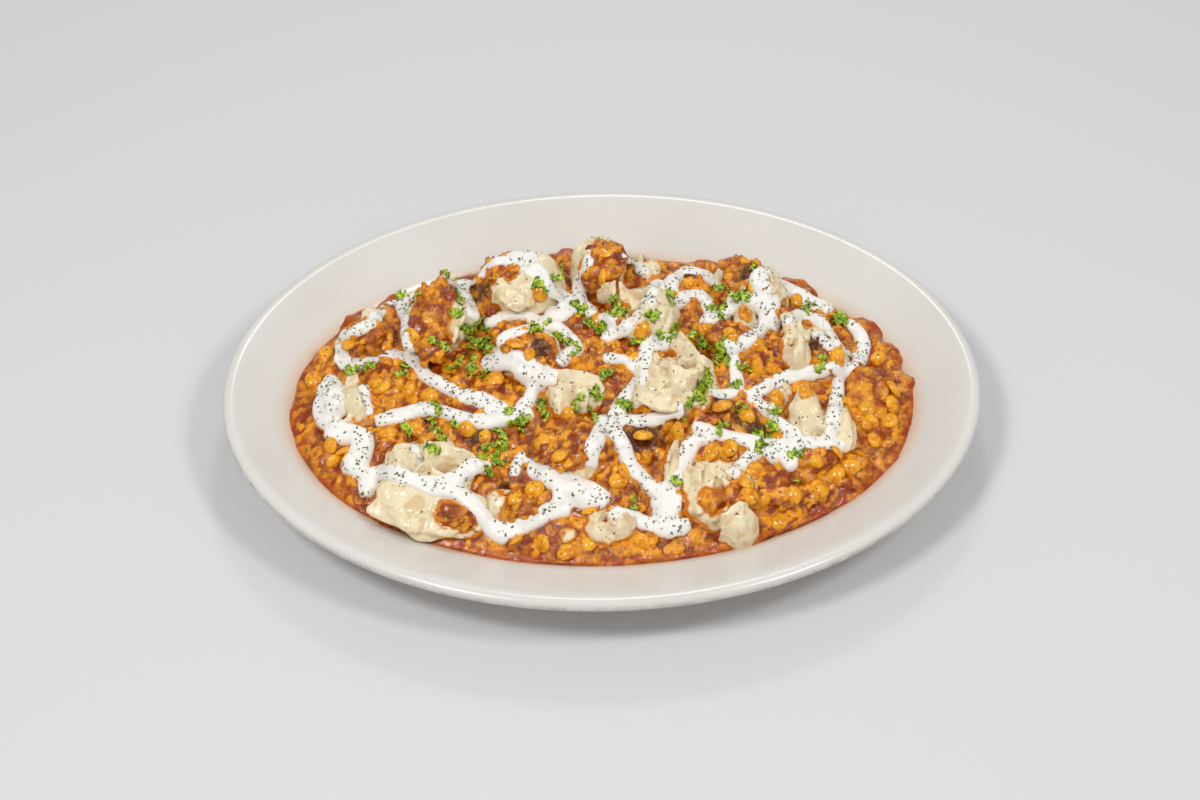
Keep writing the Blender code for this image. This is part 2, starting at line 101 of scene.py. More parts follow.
STEW_HALF_WIDTH = 87.6


def linear(code):
    """An sRGB hex colour as linear red, green, blue and alpha."""
    channels = [int(code[place : place + 2], 16) / 255 for place in (1, 3, 5)]
    return (*[c / 12.92 if c <= 0.04045 else ((c + 0.055) / 1.055) ** 2.4 for c in channels], 1.0)


def new_material(name):
    """A new material, its node tree and its Principled BSDF."""
    made = bpy.data.materials.new(name)
    made.use_nodes = True
    return made, made.node_tree, made.node_tree.nodes["Principled BSDF"]


def add_node(tree, kind, links=None, values=None, **settings):
    """A new node with its properties set, its inputs given values by name or place, and linked."""
    node = tree.nodes.new(kind)
    for name, value in settings.items():
        setattr(node, name, value)
    for name, value in (values or {}).items():
        node.inputs[name].default_value = value
    for name, output in (links or {}).items():
        tree.links.new(output, node.inputs[name])
    return node


def new_piece(name, bm, *finishes):
    """An object from a bmesh in millimetres, which is freed."""
    bmesh.ops.scale(bm, vec=(MM, MM, MM), verts=bm.verts)
    mesh = bpy.data.meshes.new(name)
    bm.to_mesh(mesh)
    bm.free()
    for finish in finishes:
        mesh.materials.append(finish)
    mesh.shade_smooth()
    made = bpy.data.objects.new(name, mesh)
    bpy.context.scene.collection.objects.link(made)
    return made


def oval_ring(bm, half_length, half_width, height, segments):
    """A ring of vertices on an ellipse. Returns its edges."""
    made = bmesh.ops.create_circle(bm, radius=1.0, segments=segments)["verts"]
    bmesh.ops.scale(bm, vec=(half_length, half_width, 1.0), verts=made)
    bmesh.ops.translate(bm, vec=(0, 0, height), verts=made)
    return list(dict.fromkeys(edge for vert in made for edge in vert.link_edges))


# Glazed stoneware: a hard, smooth and very slightly uneven gloss, with the body's warm white
# under it. The worn lip is matt and grey, and the wall beside the stew has painted bounce light:
# a warm tint for the light that the food reflects onto it.
glazed_stoneware, tree, shader = new_material("glazed_stoneware")
place = add_node(tree, "ShaderNodeTexCoord").outputs["Object"]
mottle = add_node(
    tree, "ShaderNodeTexNoise", {"Vector": place}, {"Scale": 1 / (GLAZE_MOTTLE * MM), "Detail": 3.0}
)
glaze = add_node(
    tree,
    "ShaderNodeMix",
    {"Factor": mottle.outputs["Fac"]},
    {6: linear(GLAZE_WHITE), 7: linear(GLAZE_SHADE)},
    data_type="RGBA",
)
platter_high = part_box("platter")[1]
across = add_node(
    tree,
    "ShaderNodeVectorMath",
    {0: place},
    {1: (1 / platter_high.x, 1 / platter_high.y, 0.0)},
    operation="MULTIPLY",
)
reach = add_node(tree, "ShaderNodeVectorMath", {0: across.outputs[0]}, operation="LENGTH")
near_lip = add_node(
    tree,
    "ShaderNodeMapRange",
    {"Value": reach.outputs["Value"]},
    {"From Min": WORN_FROM, "From Max": 1.0},
    interpolation_type="SMOOTHSTEP",
)
scuffs = add_node(
    tree,
    "ShaderNodeTexNoise",
    {"Vector": place},
    {"Scale": 1 / (WEAR_SIZE * MM), "Detail": 6.0, "Roughness": 0.7},
)
scuffed = add_node(
    tree,
    "ShaderNodeMapRange",
    {"Value": scuffs.outputs["Fac"]},
    {"From Min": 0.40, "From Max": 0.62, "To Max": 0.6},
)
worn = add_node(
    tree,
    "ShaderNodeMath",
    {0: near_lip.outputs["Result"], 1: scuffed.outputs["Result"]},
    operation="MULTIPLY",
)
from_food = add_node(
    tree,
    "ShaderNodeVectorMath",
    {0: place},
    {1: (1 / (STEW_HALF_LENGTH * MM), 1 / (STEW_HALF_WIDTH * MM), 0.0)},
    operation="MULTIPLY",
)
food_reach = add_node(tree, "ShaderNodeVectorMath", {0: from_food.outputs[0]}, operation="LENGTH")
# Painted bounce light: the glaze beside the stew turns warm, for the light the food reflects onto it.
painted_bounce = add_node(
    tree,
    "ShaderNodeMapRange",
    {"Value": food_reach.outputs["Value"]},
    {"From Min": FOOD_BOUNCE_TO, "From Max": 1.0, "To Max": 0.45},
    interpolation_type="SMOOTHSTEP",
)
bounce_tinted = add_node(
    tree,
    "ShaderNodeMix",
    {"Factor": painted_bounce.outputs["Result"], 6: glaze.outputs[2]},
    {7: linear(FOOD_BOUNCE_TINT)},
    data_type="RGBA",
)
coloured = add_node(
    tree,
    "ShaderNodeMix",
    {"Factor": worn.outputs[0], 6: bounce_tinted.outputs[2]},
    {7: linear(WORN_GREY)},
    data_type="RGBA",
)
matt = add_node(
    tree,
    "ShaderNodeMapRange",
    {"Value": worn.outputs[0]},
    {"To Min": 0.2, "To Max": 0.6},
)
ripple = add_node(
    tree, "ShaderNodeTexNoise", {"Vector": place}, {"Scale": 1 / (GLAZE_RIPPLE * MM), "Detail": 1.0}
)
dimples = add_node(
    tree,
    "ShaderNodeBump",
    {"Height": ripple.outputs["Fac"]},
    {"Strength": 0.06, "Distance": 1 * MM},
)
tree.links.new(coloured.outputs[2], shader.inputs["Base Color"])
tree.links.new(matt.outputs["Result"], shader.inputs["Roughness"])
tree.links.new(dimples.outputs["Normal"], shader.inputs["Normal"])
shader.inputs["IOR"].default_value = 1.5

bm = bmesh.new()
rings = []
for inset, height in PLATTER_PROFILE:
    half_length = platter_high.x / MM - inset
    half_width = platter_high.y / MM - WIDTH_INSET_SCALE * inset
    rings.append(oval_ring(bm, half_length, half_width, height, PLATTER_SEGMENTS))
for lower, upper in zip(rings, rings[1:]):
    bmesh.ops.bridge_loops(bm, edges=lower + upper)
bmesh.ops.contextual_create(bm, geom=rings[0])
bmesh.ops.contextual_create(bm, geom=rings[-1])
bmesh.ops.recalc_face_normals(bm, faces=bm.faces)
platter_faces = BVHTree.FromBMesh(bm)
platter = new_piece("oval_platter", bm, glazed_stoneware)
smooth = platter.modifiers.new("smooth", "SUBSURF")
smooth.levels = 1
smooth.render_levels = 1
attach(platter, "root")
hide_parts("platter")

# Dough pouches
# Squares of rolled wheat dough, folded over a spoon of meat: the four corners are pinched together
# and the free edges between them stand open in loops. They are steamed until half see-through.
LOW_FILLING = 0.50  # of a pouch's height
FILLING_RANGE = 0.52


class Pouch:
    """Place, size and folds of a pouch. Its filling goes from 0, low and open, to 1, heaped."""

    def __init__(self, x, y, half_width, height, base, turn, twist, filling):
        self.place = Vector((x, y, base))
        self.half_width = half_width
        self.height = height
        self.turn = math.radians(turn)
        self.twist = math.radians(twist)
        self.filling = LOW_FILLING + FILLING_RANGE * filling
        self.heaped = filling == 1


POUCHES = {  # x, y, half width, height, base, turn, twist, filling
    "front_left": Pouch(-75, -45, 21.5, 25, 13, 20, 12, 0.30),
    "left": Pouch(-110, -5, 16.0, 20, 12, 10, 10, 0.40),
    "left_back": Pouch(-104, 34, 12.7, 21, 14, 40, -8, 0.55),
    "back_left": Pouch(-71, 38, 17.5, 27, 15, 30, 8, 1.00),
    "back": Pouch(-33, 59, 19.0, 34, 15, 0, -6, 0.45),
    "back_middle": Pouch(1, 69, 13.5, 29, 16, 25, 10, 1.00),
    "middle_left": Pouch(-33, 16, 16.5, 25, 18, 50, 6, 1.00),
    "centre_left": Pouch(-13, -11, 13.0, 24, 18, 15, 20, 0.20),
    "back_right": Pouch(20, 38, 17.5, 28, 17, 5, 8, 0.35),
    "centre": Pouch(33, -5, 20.0, 26, 17, 65, 35, 0.10),
    "right_back": Pouch(70, 52, 16.5, 27, 15, 38, -12, 0.30),
    "right_middle": Pouch(60, 20, 13.0, 23, 18, 20, 10, 0.60),
    "right": Pouch(93, 16, 17.5, 24, 14, 10, 18, 0.30),
    "right_front": Pouch(90, -27, 18.5, 24, 12, 60, -10, 0.35),
    "front_right": Pouch(46, -57, 19.0, 23, 13, 35, 14, 0.30),
    "front": Pouch(0, -69, 13.0, 18, 13, 10, 8, 0.50),
    "front_middle": Pouch(-38, -61, 13.5, 20, 12, 30, -14, 0.70),
    "middle": Pouch(-11, -41, 14.0, 24, 15, 5, 6, 1.00),
}
FOLDS = {  # root x, root y, edge x, edge y and lift at each station of a leaf of dough
    "front_left": (
        ((-77, -44, -76, -32, 7), (-66, -46, -65, -31, 9), (-57, -45, -57, -35, 8),
         (-51, -46, -51, -43, 4)),
        ((-95, -48, -93, -37, 4), (-88, -47, -87, -35, 6), (-81, -46, -80, -38, 4)),
    ),
    "left": (
        ((-115, 6, -109, 12, 3), (-114, -4, -106, 4, 6), (-110, -12, -104, -6, 5),
         (-106, -17, -102, -14, 3)),
    ),
    "left_back": (((-108, 44, -107, 52, 3), (-104, 43, -103, 54, 5), (-100, 44, -99, 52, 3)),),
    "back_left": (((-64, 22, -60, 26, 3), (-67, 32, -60, 38, 6), (-66, 44, -62, 50, 4)),),
    "back": (
        ((-48, 45, -47, 56, 5), (-44, 42, -43, 68, 10), (-40, 42, -40, 58, 7)),
        ((-40, 44, -39, 60, 7), (-34, 42, -34, 68, 11), (-28, 46, -28, 60, 7)),
    ),
    "back_right": (
        ((-1, 44, 0, 50, 5), (3, 38, 3, 56, 8), (8, 40, 8, 58, 9)),
        ((9, 40, 9, 58, 9), (15, 38, 14, 57, 8), (20, 42, 19, 60, 7)),
        ((24, 20, 23, 36, 5), (28, 17, 28, 39, 8), (32, 20, 32, 36, 5)),
    ),
    "back_middle": (((22, 65, 21, 82, 6), (26, 63, 26, 86, 8), (30, 66, 30, 80, 6)),),
    "centre_left": (
        ((-22, -8, -20, 2, 4), (-12, -12, -10, 5, 8), (-4, -16, -2, 2, 8), (-2, -22, 1, -8, 5)),
        ((-21, -13, -19, -3, 4), (-12, -17, -10, -1, 7), (-5, -21, -3, -6, 6)),
        ((-20, -17, -18, -8, 4), (-12, -21, -11, -7, 6), (-7, -24, -6, -12, 5)),
        ((-30, -20, -28, -11, 3), (-25, -21, -24, -8, 5), (-20, -20, -19, -11, 3)),
    ),
    "centre": (
        ((14, -10, 18, 9, 5), (11, -19, 16, -3, 8), (18, -26, 21, -10, 9), (27, -27, 28, -11, 9),
         (35, -21, 33, -8, 8), (40, -12, 38, 0, 6)),
        ((20, -8, 22, 11, 6), (25, -10, 28, 7, 8), (31, -6, 33, 4, 8)),
        ((28, -15, 30, 4, 8), (34, -15, 36, 6, 10), (39, -10, 41, 0, 7)),
        ((24, 8, 27, 17, 5), (34, 6, 35, 22, 9), (43, 0, 44, 14, 8), (49, -6, 48, 3, 4)),
    ),
    "right_back": (
        ((55, 55, 54, 70, 7), (60, 56, 59, 82, 10), (67, 57, 67, 74, 7)),
        ((80, 55, 79, 74, 7), (87, 54, 85, 70, 5)),
    ),
    "right_middle": (((59, 24, 60, 34, 3), (64, 23, 64, 37, 6), (70, 26, 69, 33, 3)),),
    "right": (
        ((82, 17, 80, 34, 6), (85, 20, 84, 38, 9), (91, 28, 90, 40, 7)),
        ((80, 2, 84, 8, 4), (86, 2, 88, 23, 9), (92, 4, 91, 12, 4)),
        ((108, -8, 108, 4, 3), (114, -8, 116, 7, 5), (119, -4, 119, 3, 3)),
    ),
    "right_front": (
        ((80, -34, 80, -20, 4), (86, -35, 88, -11, 9), (93, -34, 93, -16, 7)),
        ((70, -18, 74, -11, 4), (76, -21, 78, -7, 7), (81, -20, 81, -10, 4)),
        ((101, -38, 101, -20, 5), (104, -39, 105, -16, 7), (108, -36, 108, -20, 4)),
    ),
    "front_right": (
        ((38, -61, 38, -50, 4), (46, -62, 46, -49, 5), (53, -60, 53, -50, 4)),
        ((23, -54, 26, -41, 6), (28, -56, 30, -37, 8), (32, -54, 33, -40, 6)),
        ((31, -74, 32, -54, 6), (36, -74, 36, -51, 7), (40, -68, 40, -52, 5)),
        ((45, -80, 48, -71, 3), (55, -81, 56, -66, 6), (65, -76, 63, -70, 3)),
    ),
    "front": (((2, -80, 3, -74, 3), (7, -81, 7, -71, 5), (12, -78, 11, -74, 3)),),
    "front_middle": (((-50, -69, -48, -61, 3), (-46, -71, -45, -58, 5), (-43, -69, -43, -62, 3)),),
}
PADS = {  # x, y, half length, half width, height and turn of each soft swelling of dough
    "front_left": ((-74, -64, 25, 13, 6, -14), (-84, -40, 8, 6, 3, 0)),
    "left": ((-108, -3, 4, 12, 4, 0), (-98, -8, 6, 5, 3, 0)),
    "left_back": ((-103, 48, 4, 6, 4, 0),),
    "back_left": ((-64, 34, 3.5, 11, 4, 0), (-68, 13, 8, 6, 3, 0)),
    "back": ((-36, 52, 9, 10, 4, 0),),
    "back_right": ((27, 29, 5, 9, 5, 0),),
    "back_middle": ((20, 72, 3.5, 15, 5, 0),),
    "centre_left": ((-25, -15, 5, 6, 3, 0),),
    "centre": ((27, -19, 13, 7, 3, 0),),
    "right_back": ((80, 66, 4, 9, 4, 0),),
    "right_middle": ((63, 32, 5, 6, 4, 0),),
    "right": ((84, 27, 5, 8, 4, 0), (87, 13, 3, 9, 4, 0), (112, 0, 6, 9, 4, 0)),
    "right_front": ((86, -24, 7, 11, 5, 0), (74, -14, 6, 6, 4, 0), (104, -27, 3.5, 12, 4, 0)),
    "front_right": ((28, -46, 4.5, 11, 4, 0), (39, -64, 7, 9, 4, 0),
                    (53, -74, 8, 5, 4, 0), (45, -56, 5, 5, 3, 0)),
    "front": ((-17, -76, 4, 4, 3, 20), (-3, -77, 5, 4, 3, -20)),
    "front_middle": ((-48, -64, 3, 7, 4, 0),),
}
FOLD_CELLS = (16, 8)
FOLD_ROOT = 4.0
FOLD_BULGE = 0.20
FOLD_RIPPLE = 3.6
FOLD_OUT = (0, -1, 0.6)
FOLD_TOP = 46.0
LUMP_TOP = 47.0
LUMP_SUNK = 0.35
LUMP_UPRIGHT = 0.7
LUMP_MARGIN = 4
PAD_ROUNDNESS = 0.7
DOUGH_VOXEL = 0.7
DOUGH_SMOOTHING = 2
DOUGH_THICKNESS = 1.5
POUCH_SEGMENTS = 96
WALL_LEVELS = 24
EDGE_LEVELS = 4
INNER_LEVELS = 8
FILLING_LEVELS = 8
FILLING_CROWN = 0.6
LEAST_RADIUS = 0.4
SHOULDER_SHARE = (0.8, 0.45)  # the inner wall's middle: of the mouth's radius and height
FLOOR_SHARE = 0.62  # the filling's radius, of the mouth's
# Each ring of a pouch's wall is a share of its half width and of its height. Above the belly the
# wall differs between the four gathered corners and the loops of free edge between them.
UNDERSIDE = (0.5, -0.02)
BELLY = ((0.86, 0.00), (1.00, 0.32), (0.94, 0.60))
CORNER_WALL = ((0.58, 0.84), (0.15, 1.00))
LOOP_WALL = ((0.90, 0.76), (0.74, 0.86))
CORNER_SHARPNESS = 1.3
CORNER_RISE = (-0.08, 0.12)
LOOP_REACH = (-0.10, 0.12)
HEAPED_RISE = 0.04
CREASES_ROUND = 5.0
CREASE_DEPTH = 0.45
EDGE_WAVE = 0.9
DOUGH_CREAM = "#FBEFD2"
DOUGH_GREY = "#DCC898"
DOUGH_STAIN = "#D27A10"
# Partly oil, partly painted shade: the darker tan of the dough's creases.
DOUGH_CREASE_OIL_AND_SHADE = "#CFA468"
STEW_BROWN = "#A04204"
STEW_ORANGE = "#F29E12"
# Redder oil in the sauce pools, darkened further there as painted shade.
STEW_POOL_AND_SHADE = "#7A2600"
# A painted highlight: the paler colour on the tops of the grains.
STEW_PAINTED_HIGHLIGHT = "#F8B440"
STEW_CHAR = "#3C1C06"
STEW_OIL = "#A63C00"
# The stew's level surface, and a smooth mound just over it. Leaves, swellings, spoonfuls, peas,
# strands and herbs have their places on that mound as x, y, and slide along their lines of sight
# onto what lies there.
STEW_EDGE_LEVEL = 19.4
STEW_HEAP = 16.0
STEW_HEAP_POWER = 2.5
STEW_LUMP_HEIGHT = 2.0
STEW_LUMP_SIZE = 11.0
MOUND_HALF_LENGTH = 140
MOUND_HALF_WIDTH = 92
MOUND_EDGE = 22
MOUND_RISE = 20
MOUND_POWER = 3
TO_MM = (1 / MM, 1 / MM, 1 / MM)
UP = Vector((0, 0, 1))


def stew_height(x, y):
    """Height of the stew's level surface at x, y, with lumps that fade towards its edge."""
    share = min(1.0, math.hypot(x / STEW_HALF_LENGTH, y / STEW_HALF_WIDTH))
    lump = noise.noise(Vector((x, y, 0)) / STEW_LUMP_SIZE) * min(1.0, 8 * (1 - share))
    return STEW_EDGE_LEVEL + STEW_HEAP * (1 - share**STEW_HEAP_POWER) + STEW_LUMP_HEIGHT * lump


def tree_of(*pieces):
    """What rays are cast at: the faces of some pieces, as one."""
    bm = bmesh.new()
    for piece in pieces:
        bm.from_mesh(piece.data)
    made = BVHTree.FromBMesh(bm)
    bm.free()
    return made


def place_seen(target, x, y, margin=0.0):
    """(point, normal) of what is seen at x, y of a smooth mound over the well, along its line of
    sight, but no nearer to the stew's edge than the margin."""
    rise = max(0.0, 1 - math.hypot(x / MOUND_HALF_LENGTH, y / MOUND_HALF_WIDTH) ** MOUND_POWER)
    seen = Vector((x, y, MOUND_EDGE + MOUND_RISE * rise))
    hit, normal, _, _ = target.ray_cast(EYE * MM, (seen - EYE).normalized())
    point = hit / MM if hit else seen
    reach = math.hypot(point.x / (STEW_HALF_LENGTH - margin), point.y / (STEW_HALF_WIDTH - margin))
    if reach > 1 or not hit:
        x, y = point.x / max(reach, 1), point.y / max(reach, 1)
        return Vector((x, y, stew_height(x, y))), UP
    return point, normal


def curve_through(points, share):
    """The point at a share, 0 to 1, of a smooth curve through some points."""
    along = min(max(share, 0.0), 1.0) * (len(points) - 1)
    first = min(int(along), len(points) - 2)
    t = along - first
    before = points[max(first - 1, 0)]
    start, end = points[first], points[first + 1]
    after = points[min(first + 2, len(points) - 1)]
    bend = 2 * before - 5 * start + 4 * end - after
    sway = 3 * (start - end) + after - before
    return 0.5 * (2 * start + (end - before) * t + bend * t**2 + sway * t**3)


def wall_rings(pouch, angle, corner_rise, loop_reach):
    """(radius, height, twist share) up the wall, as shares of the pouch, at an angle from a corner."""
    corner = (0.5 + 0.5 * math.cos(4 * angle)) ** CORNER_SHARPNESS
    taller = corner * corner_rise[round(2 * angle / math.pi) % 4]
    wider = (1 - corner) * loop_reach[math.floor(2 * angle / math.pi) % 4]
    rings = [Vector((radius, height, 0.0)) for radius, height in (UNDERSIDE, *BELLY)]
    for level, (gathered, free) in enumerate(zip(CORNER_WALL, LOOP_WALL), start=1):
        radius = free[0] + corner * (gathered[0] - free[0])
        height = free[1] + corner * (gathered[1] - free[1])
        if pouch.heaped:
            radius, height = 0.5 * (radius + free[0]), height + HEAPED_RISE * level
        grown = 0.5 * level
        rings.append(Vector((radius * (1 + grown * wider), height * (1 + grown * taller), grown)))
    return rings


def pouch_profile(pouch, rings, angle, seed):
    """(radius, height, twist share) in millimetres of every level at one angle: the underside, the
    outer wall, the rounded edge, the inner wall and the filling."""
    size = Vector((pouch.half_width, pouch.height, 1.0))
    profile = []
    for level in range(WALL_LEVELS + 1):
        share = level / WALL_LEVELS
        radius, height, twist = curve_through(rings, share) * size
        way = Vector((math.cos(angle), math.sin(angle), 0)) * CREASES_ROUND
        crease = noise.noise(way + Vector((0, 0, 1.2 * share + 9 * seed)))
        radius += CREASE_DEPTH * crease * share
        height += EDGE_WAVE * noise.noise(0.5 * way + Vector((seed, 0, 0))) * share**3
        profile.append(Vector((max(radius, LEAST_RADIUS), height, twist)))
    edge = profile[-1]
    half = min(0.5 * DOUGH_THICKNESS, 0.45 * edge.x)
    for level in range(1, EDGE_LEVELS + 1):
        turn = math.pi * level / EDGE_LEVELS
        profile.append(edge + Vector((half * (math.cos(turn) - 1), half * math.sin(turn), 0)))
    top = profile[-1]
    filling = pouch.filling * pouch.height
    inward, upward = SHOULDER_SHARE
    shoulder = Vector((max(inward * top.x, 0.6), upward * top.y + (1 - upward) * filling, 1.0))
    floor = Vector((max(FLOOR_SHARE * top.x, 0.3), filling, 1.0))
    for level in range(1, INNER_LEVELS + 1):
        profile.append(curve_through([top, shoulder, floor], level / INNER_LEVELS))
    for level in range(1, FILLING_LEVELS):
        inner = floor.x * (1 - level / FILLING_LEVELS)
        profile.append(Vector((inner, filling + FILLING_CROWN, 1.0)))
    return profile


def sphere_levels(bm, segments, rings):
    """A sphere's vertices, each with its angle and its ring, counted from 0 at the lower pole."""
    made = bmesh.ops.create_uvsphere(bm, u_segments=segments, v_segments=rings + 1, radius=1.0)
    for vert in made["verts"]:
        slope = math.asin(max(-1.0, min(1.0, vert.co.z)))
        yield vert, math.atan2(vert.co.y, vert.co.x), round((slope / math.pi + 0.5) * (rings + 1))


# Steamed dough: smooth and moist with a soft sheen, cream where it is thick and greyer where it is
# thin. Light goes a millimetre or two into it, and the stew stains its hollows orange. Its creases
# are tinted a darker tan, partly oil and partly painted shade.
thin_wheat_dough, tree, shader = new_material("thin_wheat_dough")
place = add_node(tree, "ShaderNodeTexCoord").outputs["Object"]
clouds = add_node(
    tree, "ShaderNodeTexNoise", {"Vector": place}, {"Scale": 1 / (9 * MM), "Detail": 4.0}
)
dough = add_node(
    tree,
    "ShaderNodeMix",
    {"Factor": clouds.outputs["Fac"]},
    {6: linear(DOUGH_CREAM), 7: linear(DOUGH_GREY)},
    data_type="RGBA",
)
stain_spots = add_node(
    tree,
    "ShaderNodeTexNoise",
    {"Vector": place},
    {"Scale": 1 / (7 * MM), "Detail": 5.0, "Roughness": 0.6, "Distortion": 0.6},
)
near_stew = add_node(tree, "ShaderNodeAttribute", attribute_name="stain")
soaked = add_node(
    tree, "ShaderNodeMath", {0: near_stew.outputs["Fac"], 1: stain_spots.outputs["Fac"]}, operation="ADD"
)
stained = add_node(
    tree,
    "ShaderNodeMapRange",
    {"Value": soaked.outputs[0]},
    {"From Min": 0.88, "From Max": 1.15, "To Max": 1.0},
)
coloured = add_node(
    tree,
    "ShaderNodeMix",
    {"Factor": stained.outputs["Result"], 6: dough.outputs[2]},
    {7: linear(DOUGH_STAIN)},
    data_type="RGBA",
)
skin = add_node(
    tree, "ShaderNodeTexNoise", {"Vector": place}, {"Scale": 1 / (1.5 * MM), "Detail": 2.0}
)
skin_bump = add_node(
    tree, "ShaderNodeBump", {"Height": skin.outputs["Fac"]}, {"Strength": 0.2, "Distance": 0.2 * MM}
)
creases = add_node(
    tree,
    "ShaderNodeTexNoise",
    {"Vector": place},
    {"Scale": 1 / (9 * MM), "Detail": 1.0, "Roughness": 0.5, "Distortion": 1.6},
)
creased = add_node(
    tree,
    "ShaderNodeBump",
    {"Height": creases.outputs["Fac"], "Normal": skin_bump.outputs["Normal"]},
    {"Strength": 0.6, "Distance": 1.8 * MM},
)
# Painted shade, partly oil: the low places of the crease bump are tinted a darker tan.
crease_oil_and_shade = add_node(
    tree,
    "ShaderNodeMapRange",
    {"Value": creases.outputs["Fac"]},
    {"From Min": 0.46, "From Max": 0.34, "To Max": 0.5},
)
crease_tinted_and_shaded = add_node(
    tree,
    "ShaderNodeMix",
    {"Factor": crease_oil_and_shade.outputs["Result"], 6: coloured.outputs[2]},
    {7: linear(DOUGH_CREASE_OIL_AND_SHADE)},
    data_type="RGBA",
)
tree.links.new(crease_tinted_and_shaded.outputs[2], shader.inputs["Base Color"])
tree.links.new(creased.outputs["Normal"], shader.inputs["Normal"])
shader.inputs["Roughness"].default_value = 0.22
shader.inputs["IOR"].default_value = 1.4
shader.inputs["Subsurface Weight"].default_value = 0.2
shader.inputs["Subsurface Radius"].default_value = (1.0, 0.85, 0.6)
shader.inputs["Subsurface Scale"].default_value = 2 * MM

# Meat stew: minced beef and broken peas in tomato and oil. It is an orange brown with redder oil
# in its hollows, darkened there further as painted shade, and the tops of its grains are painted
# paler, a painted highlight. It is wet all over, so that each grain has its own highlight.
tomato_stew, tree, shader = new_material("tomato_stew")
place = add_node(tree, "ShaderNodeTexCoord").outputs["Object"]
blotches = add_node(
    tree,
    "ShaderNodeTexNoise",
    {"Vector": place},
    {"Scale": 1 / (11 * MM), "Detail": 4.0, "Roughness": 0.6},
)
own_tone = add_node(tree, "ShaderNodeAttribute", attribute_name="tone")
mixed_tone = add_node(
    tree,
    "ShaderNodeMath",
    {0: own_tone.outputs["Fac"], 1: blotches.outputs["Fac"]},
    operation="MULTIPLY",
)
tone_share = add_node(
    tree,
    "ShaderNodeMapRange",
    {"Value": mixed_tone.outputs[0]},
    {"From Min": 0.08, "From Max": 0.40},
)
body = add_node(
    tree,
    "ShaderNodeMix",
    {"Factor": tone_share.outputs["Result"]},
    {6: linear(STEW_BROWN), 7: linear(STEW_ORANGE)},
    data_type="RGBA",
)
relief = add_node(tree, "ShaderNodeAttribute", attribute_name="relief")
# Partly real, partly painted shade: the low pools of sauce between the crumbs are darkened to a deep
# red.
pool_and_shade = add_node(
    tree,
    "ShaderNodeMapRange",
    {"Value": relief.outputs["Fac"]},
    {"From Min": 0.50, "From Max": 0.22, "To Max": 0.92},
    interpolation_type="SMOOTHSTEP",
)
pooled_and_shaded = add_node(
    tree,
    "ShaderNodeMix",
    {"Factor": pool_and_shade.outputs["Result"], 6: body.outputs[2]},
    {7: linear(STEW_POOL_AND_SHADE)},
    data_type="RGBA",
)
# Painted highlight: the tops of the tallest crumbs are painted paler.
crown = add_node(
    tree,
    "ShaderNodeMapRange",
    {"Value": relief.outputs["Fac"]},
    {"From Min": 0.8, "From Max": 1.2, "To Max": 0.6},
)
coloured = add_node(
    tree,
    "ShaderNodeMix",
    {"Factor": crown.outputs["Result"], 6: pooled_and_shaded.outputs[2]},
    {7: linear(STEW_PAINTED_HIGHLIGHT)},
    data_type="RGBA",
)
browned = add_node(tree, "ShaderNodeAttribute", attribute_name="char")
speckle = add_node(
    tree, "ShaderNodeTexNoise", {"Vector": place}, {"Scale": 1 / (2.5 * MM), "Detail": 2.0}
)
crust = add_node(
    tree, "ShaderNodeMath", {0: browned.outputs["Fac"], 1: speckle.outputs["Fac"]}, operation="ADD"
)
crusted = add_node(
    tree,
    "ShaderNodeMapRange",
    {"Value": crust.outputs[0]},
    {"From Min": 0.58, "From Max": 0.95, "To Max": 0.85},
)
browned_stew = add_node(
    tree,
    "ShaderNodeMix",
    {"Factor": crusted.outputs["Result"], 6: coloured.outputs[2]},
    {7: linear(STEW_CHAR)},
    data_type="RGBA",
)
at_rim = add_node(tree, "ShaderNodeAttribute", attribute_name="oil")
oil_share = add_node(
    tree, "ShaderNodeMath", {0: at_rim.outputs["Fac"], 1: blotches.outputs["Fac"]}, operation="MULTIPLY"
)
rimmed = add_node(
    tree,
    "ShaderNodeMapRange",
    {"Value": oil_share.outputs[0]},
    {"From Min": 0.20, "From Max": 0.60, "To Max": 0.8},
)
finished = add_node(
    tree,
    "ShaderNodeMix",
    {"Factor": rimmed.outputs["Result"], 6: browned_stew.outputs[2]},
    {7: linear(STEW_OIL)},
    data_type="RGBA",
)
fine = add_node(
    tree,
    "ShaderNodeTexNoise",
    {"Vector": place},
    {"Scale": 1 / (1.2 * MM), "Detail": 2.0, "Roughness": 0.6},
)
fine_bump = add_node(
    tree, "ShaderNodeBump", {"Height": fine.outputs["Fac"]}, {"Strength": 0.5, "Distance": 0.8 * MM}
)
tree.links.new(finished.outputs[2], shader.inputs["Base Color"])
tree.links.new(fine_bump.outputs["Normal"], shader.inputs["Normal"])
shader.inputs["Roughness"].default_value = 0.1
shader.inputs["IOR"].default_value = 1.42
shader.inputs["Coat Weight"].default_value = 0.22
shader.inputs["Coat Roughness"].default_value = 0.04
shader.inputs["Coat IOR"].default_value = 1.5


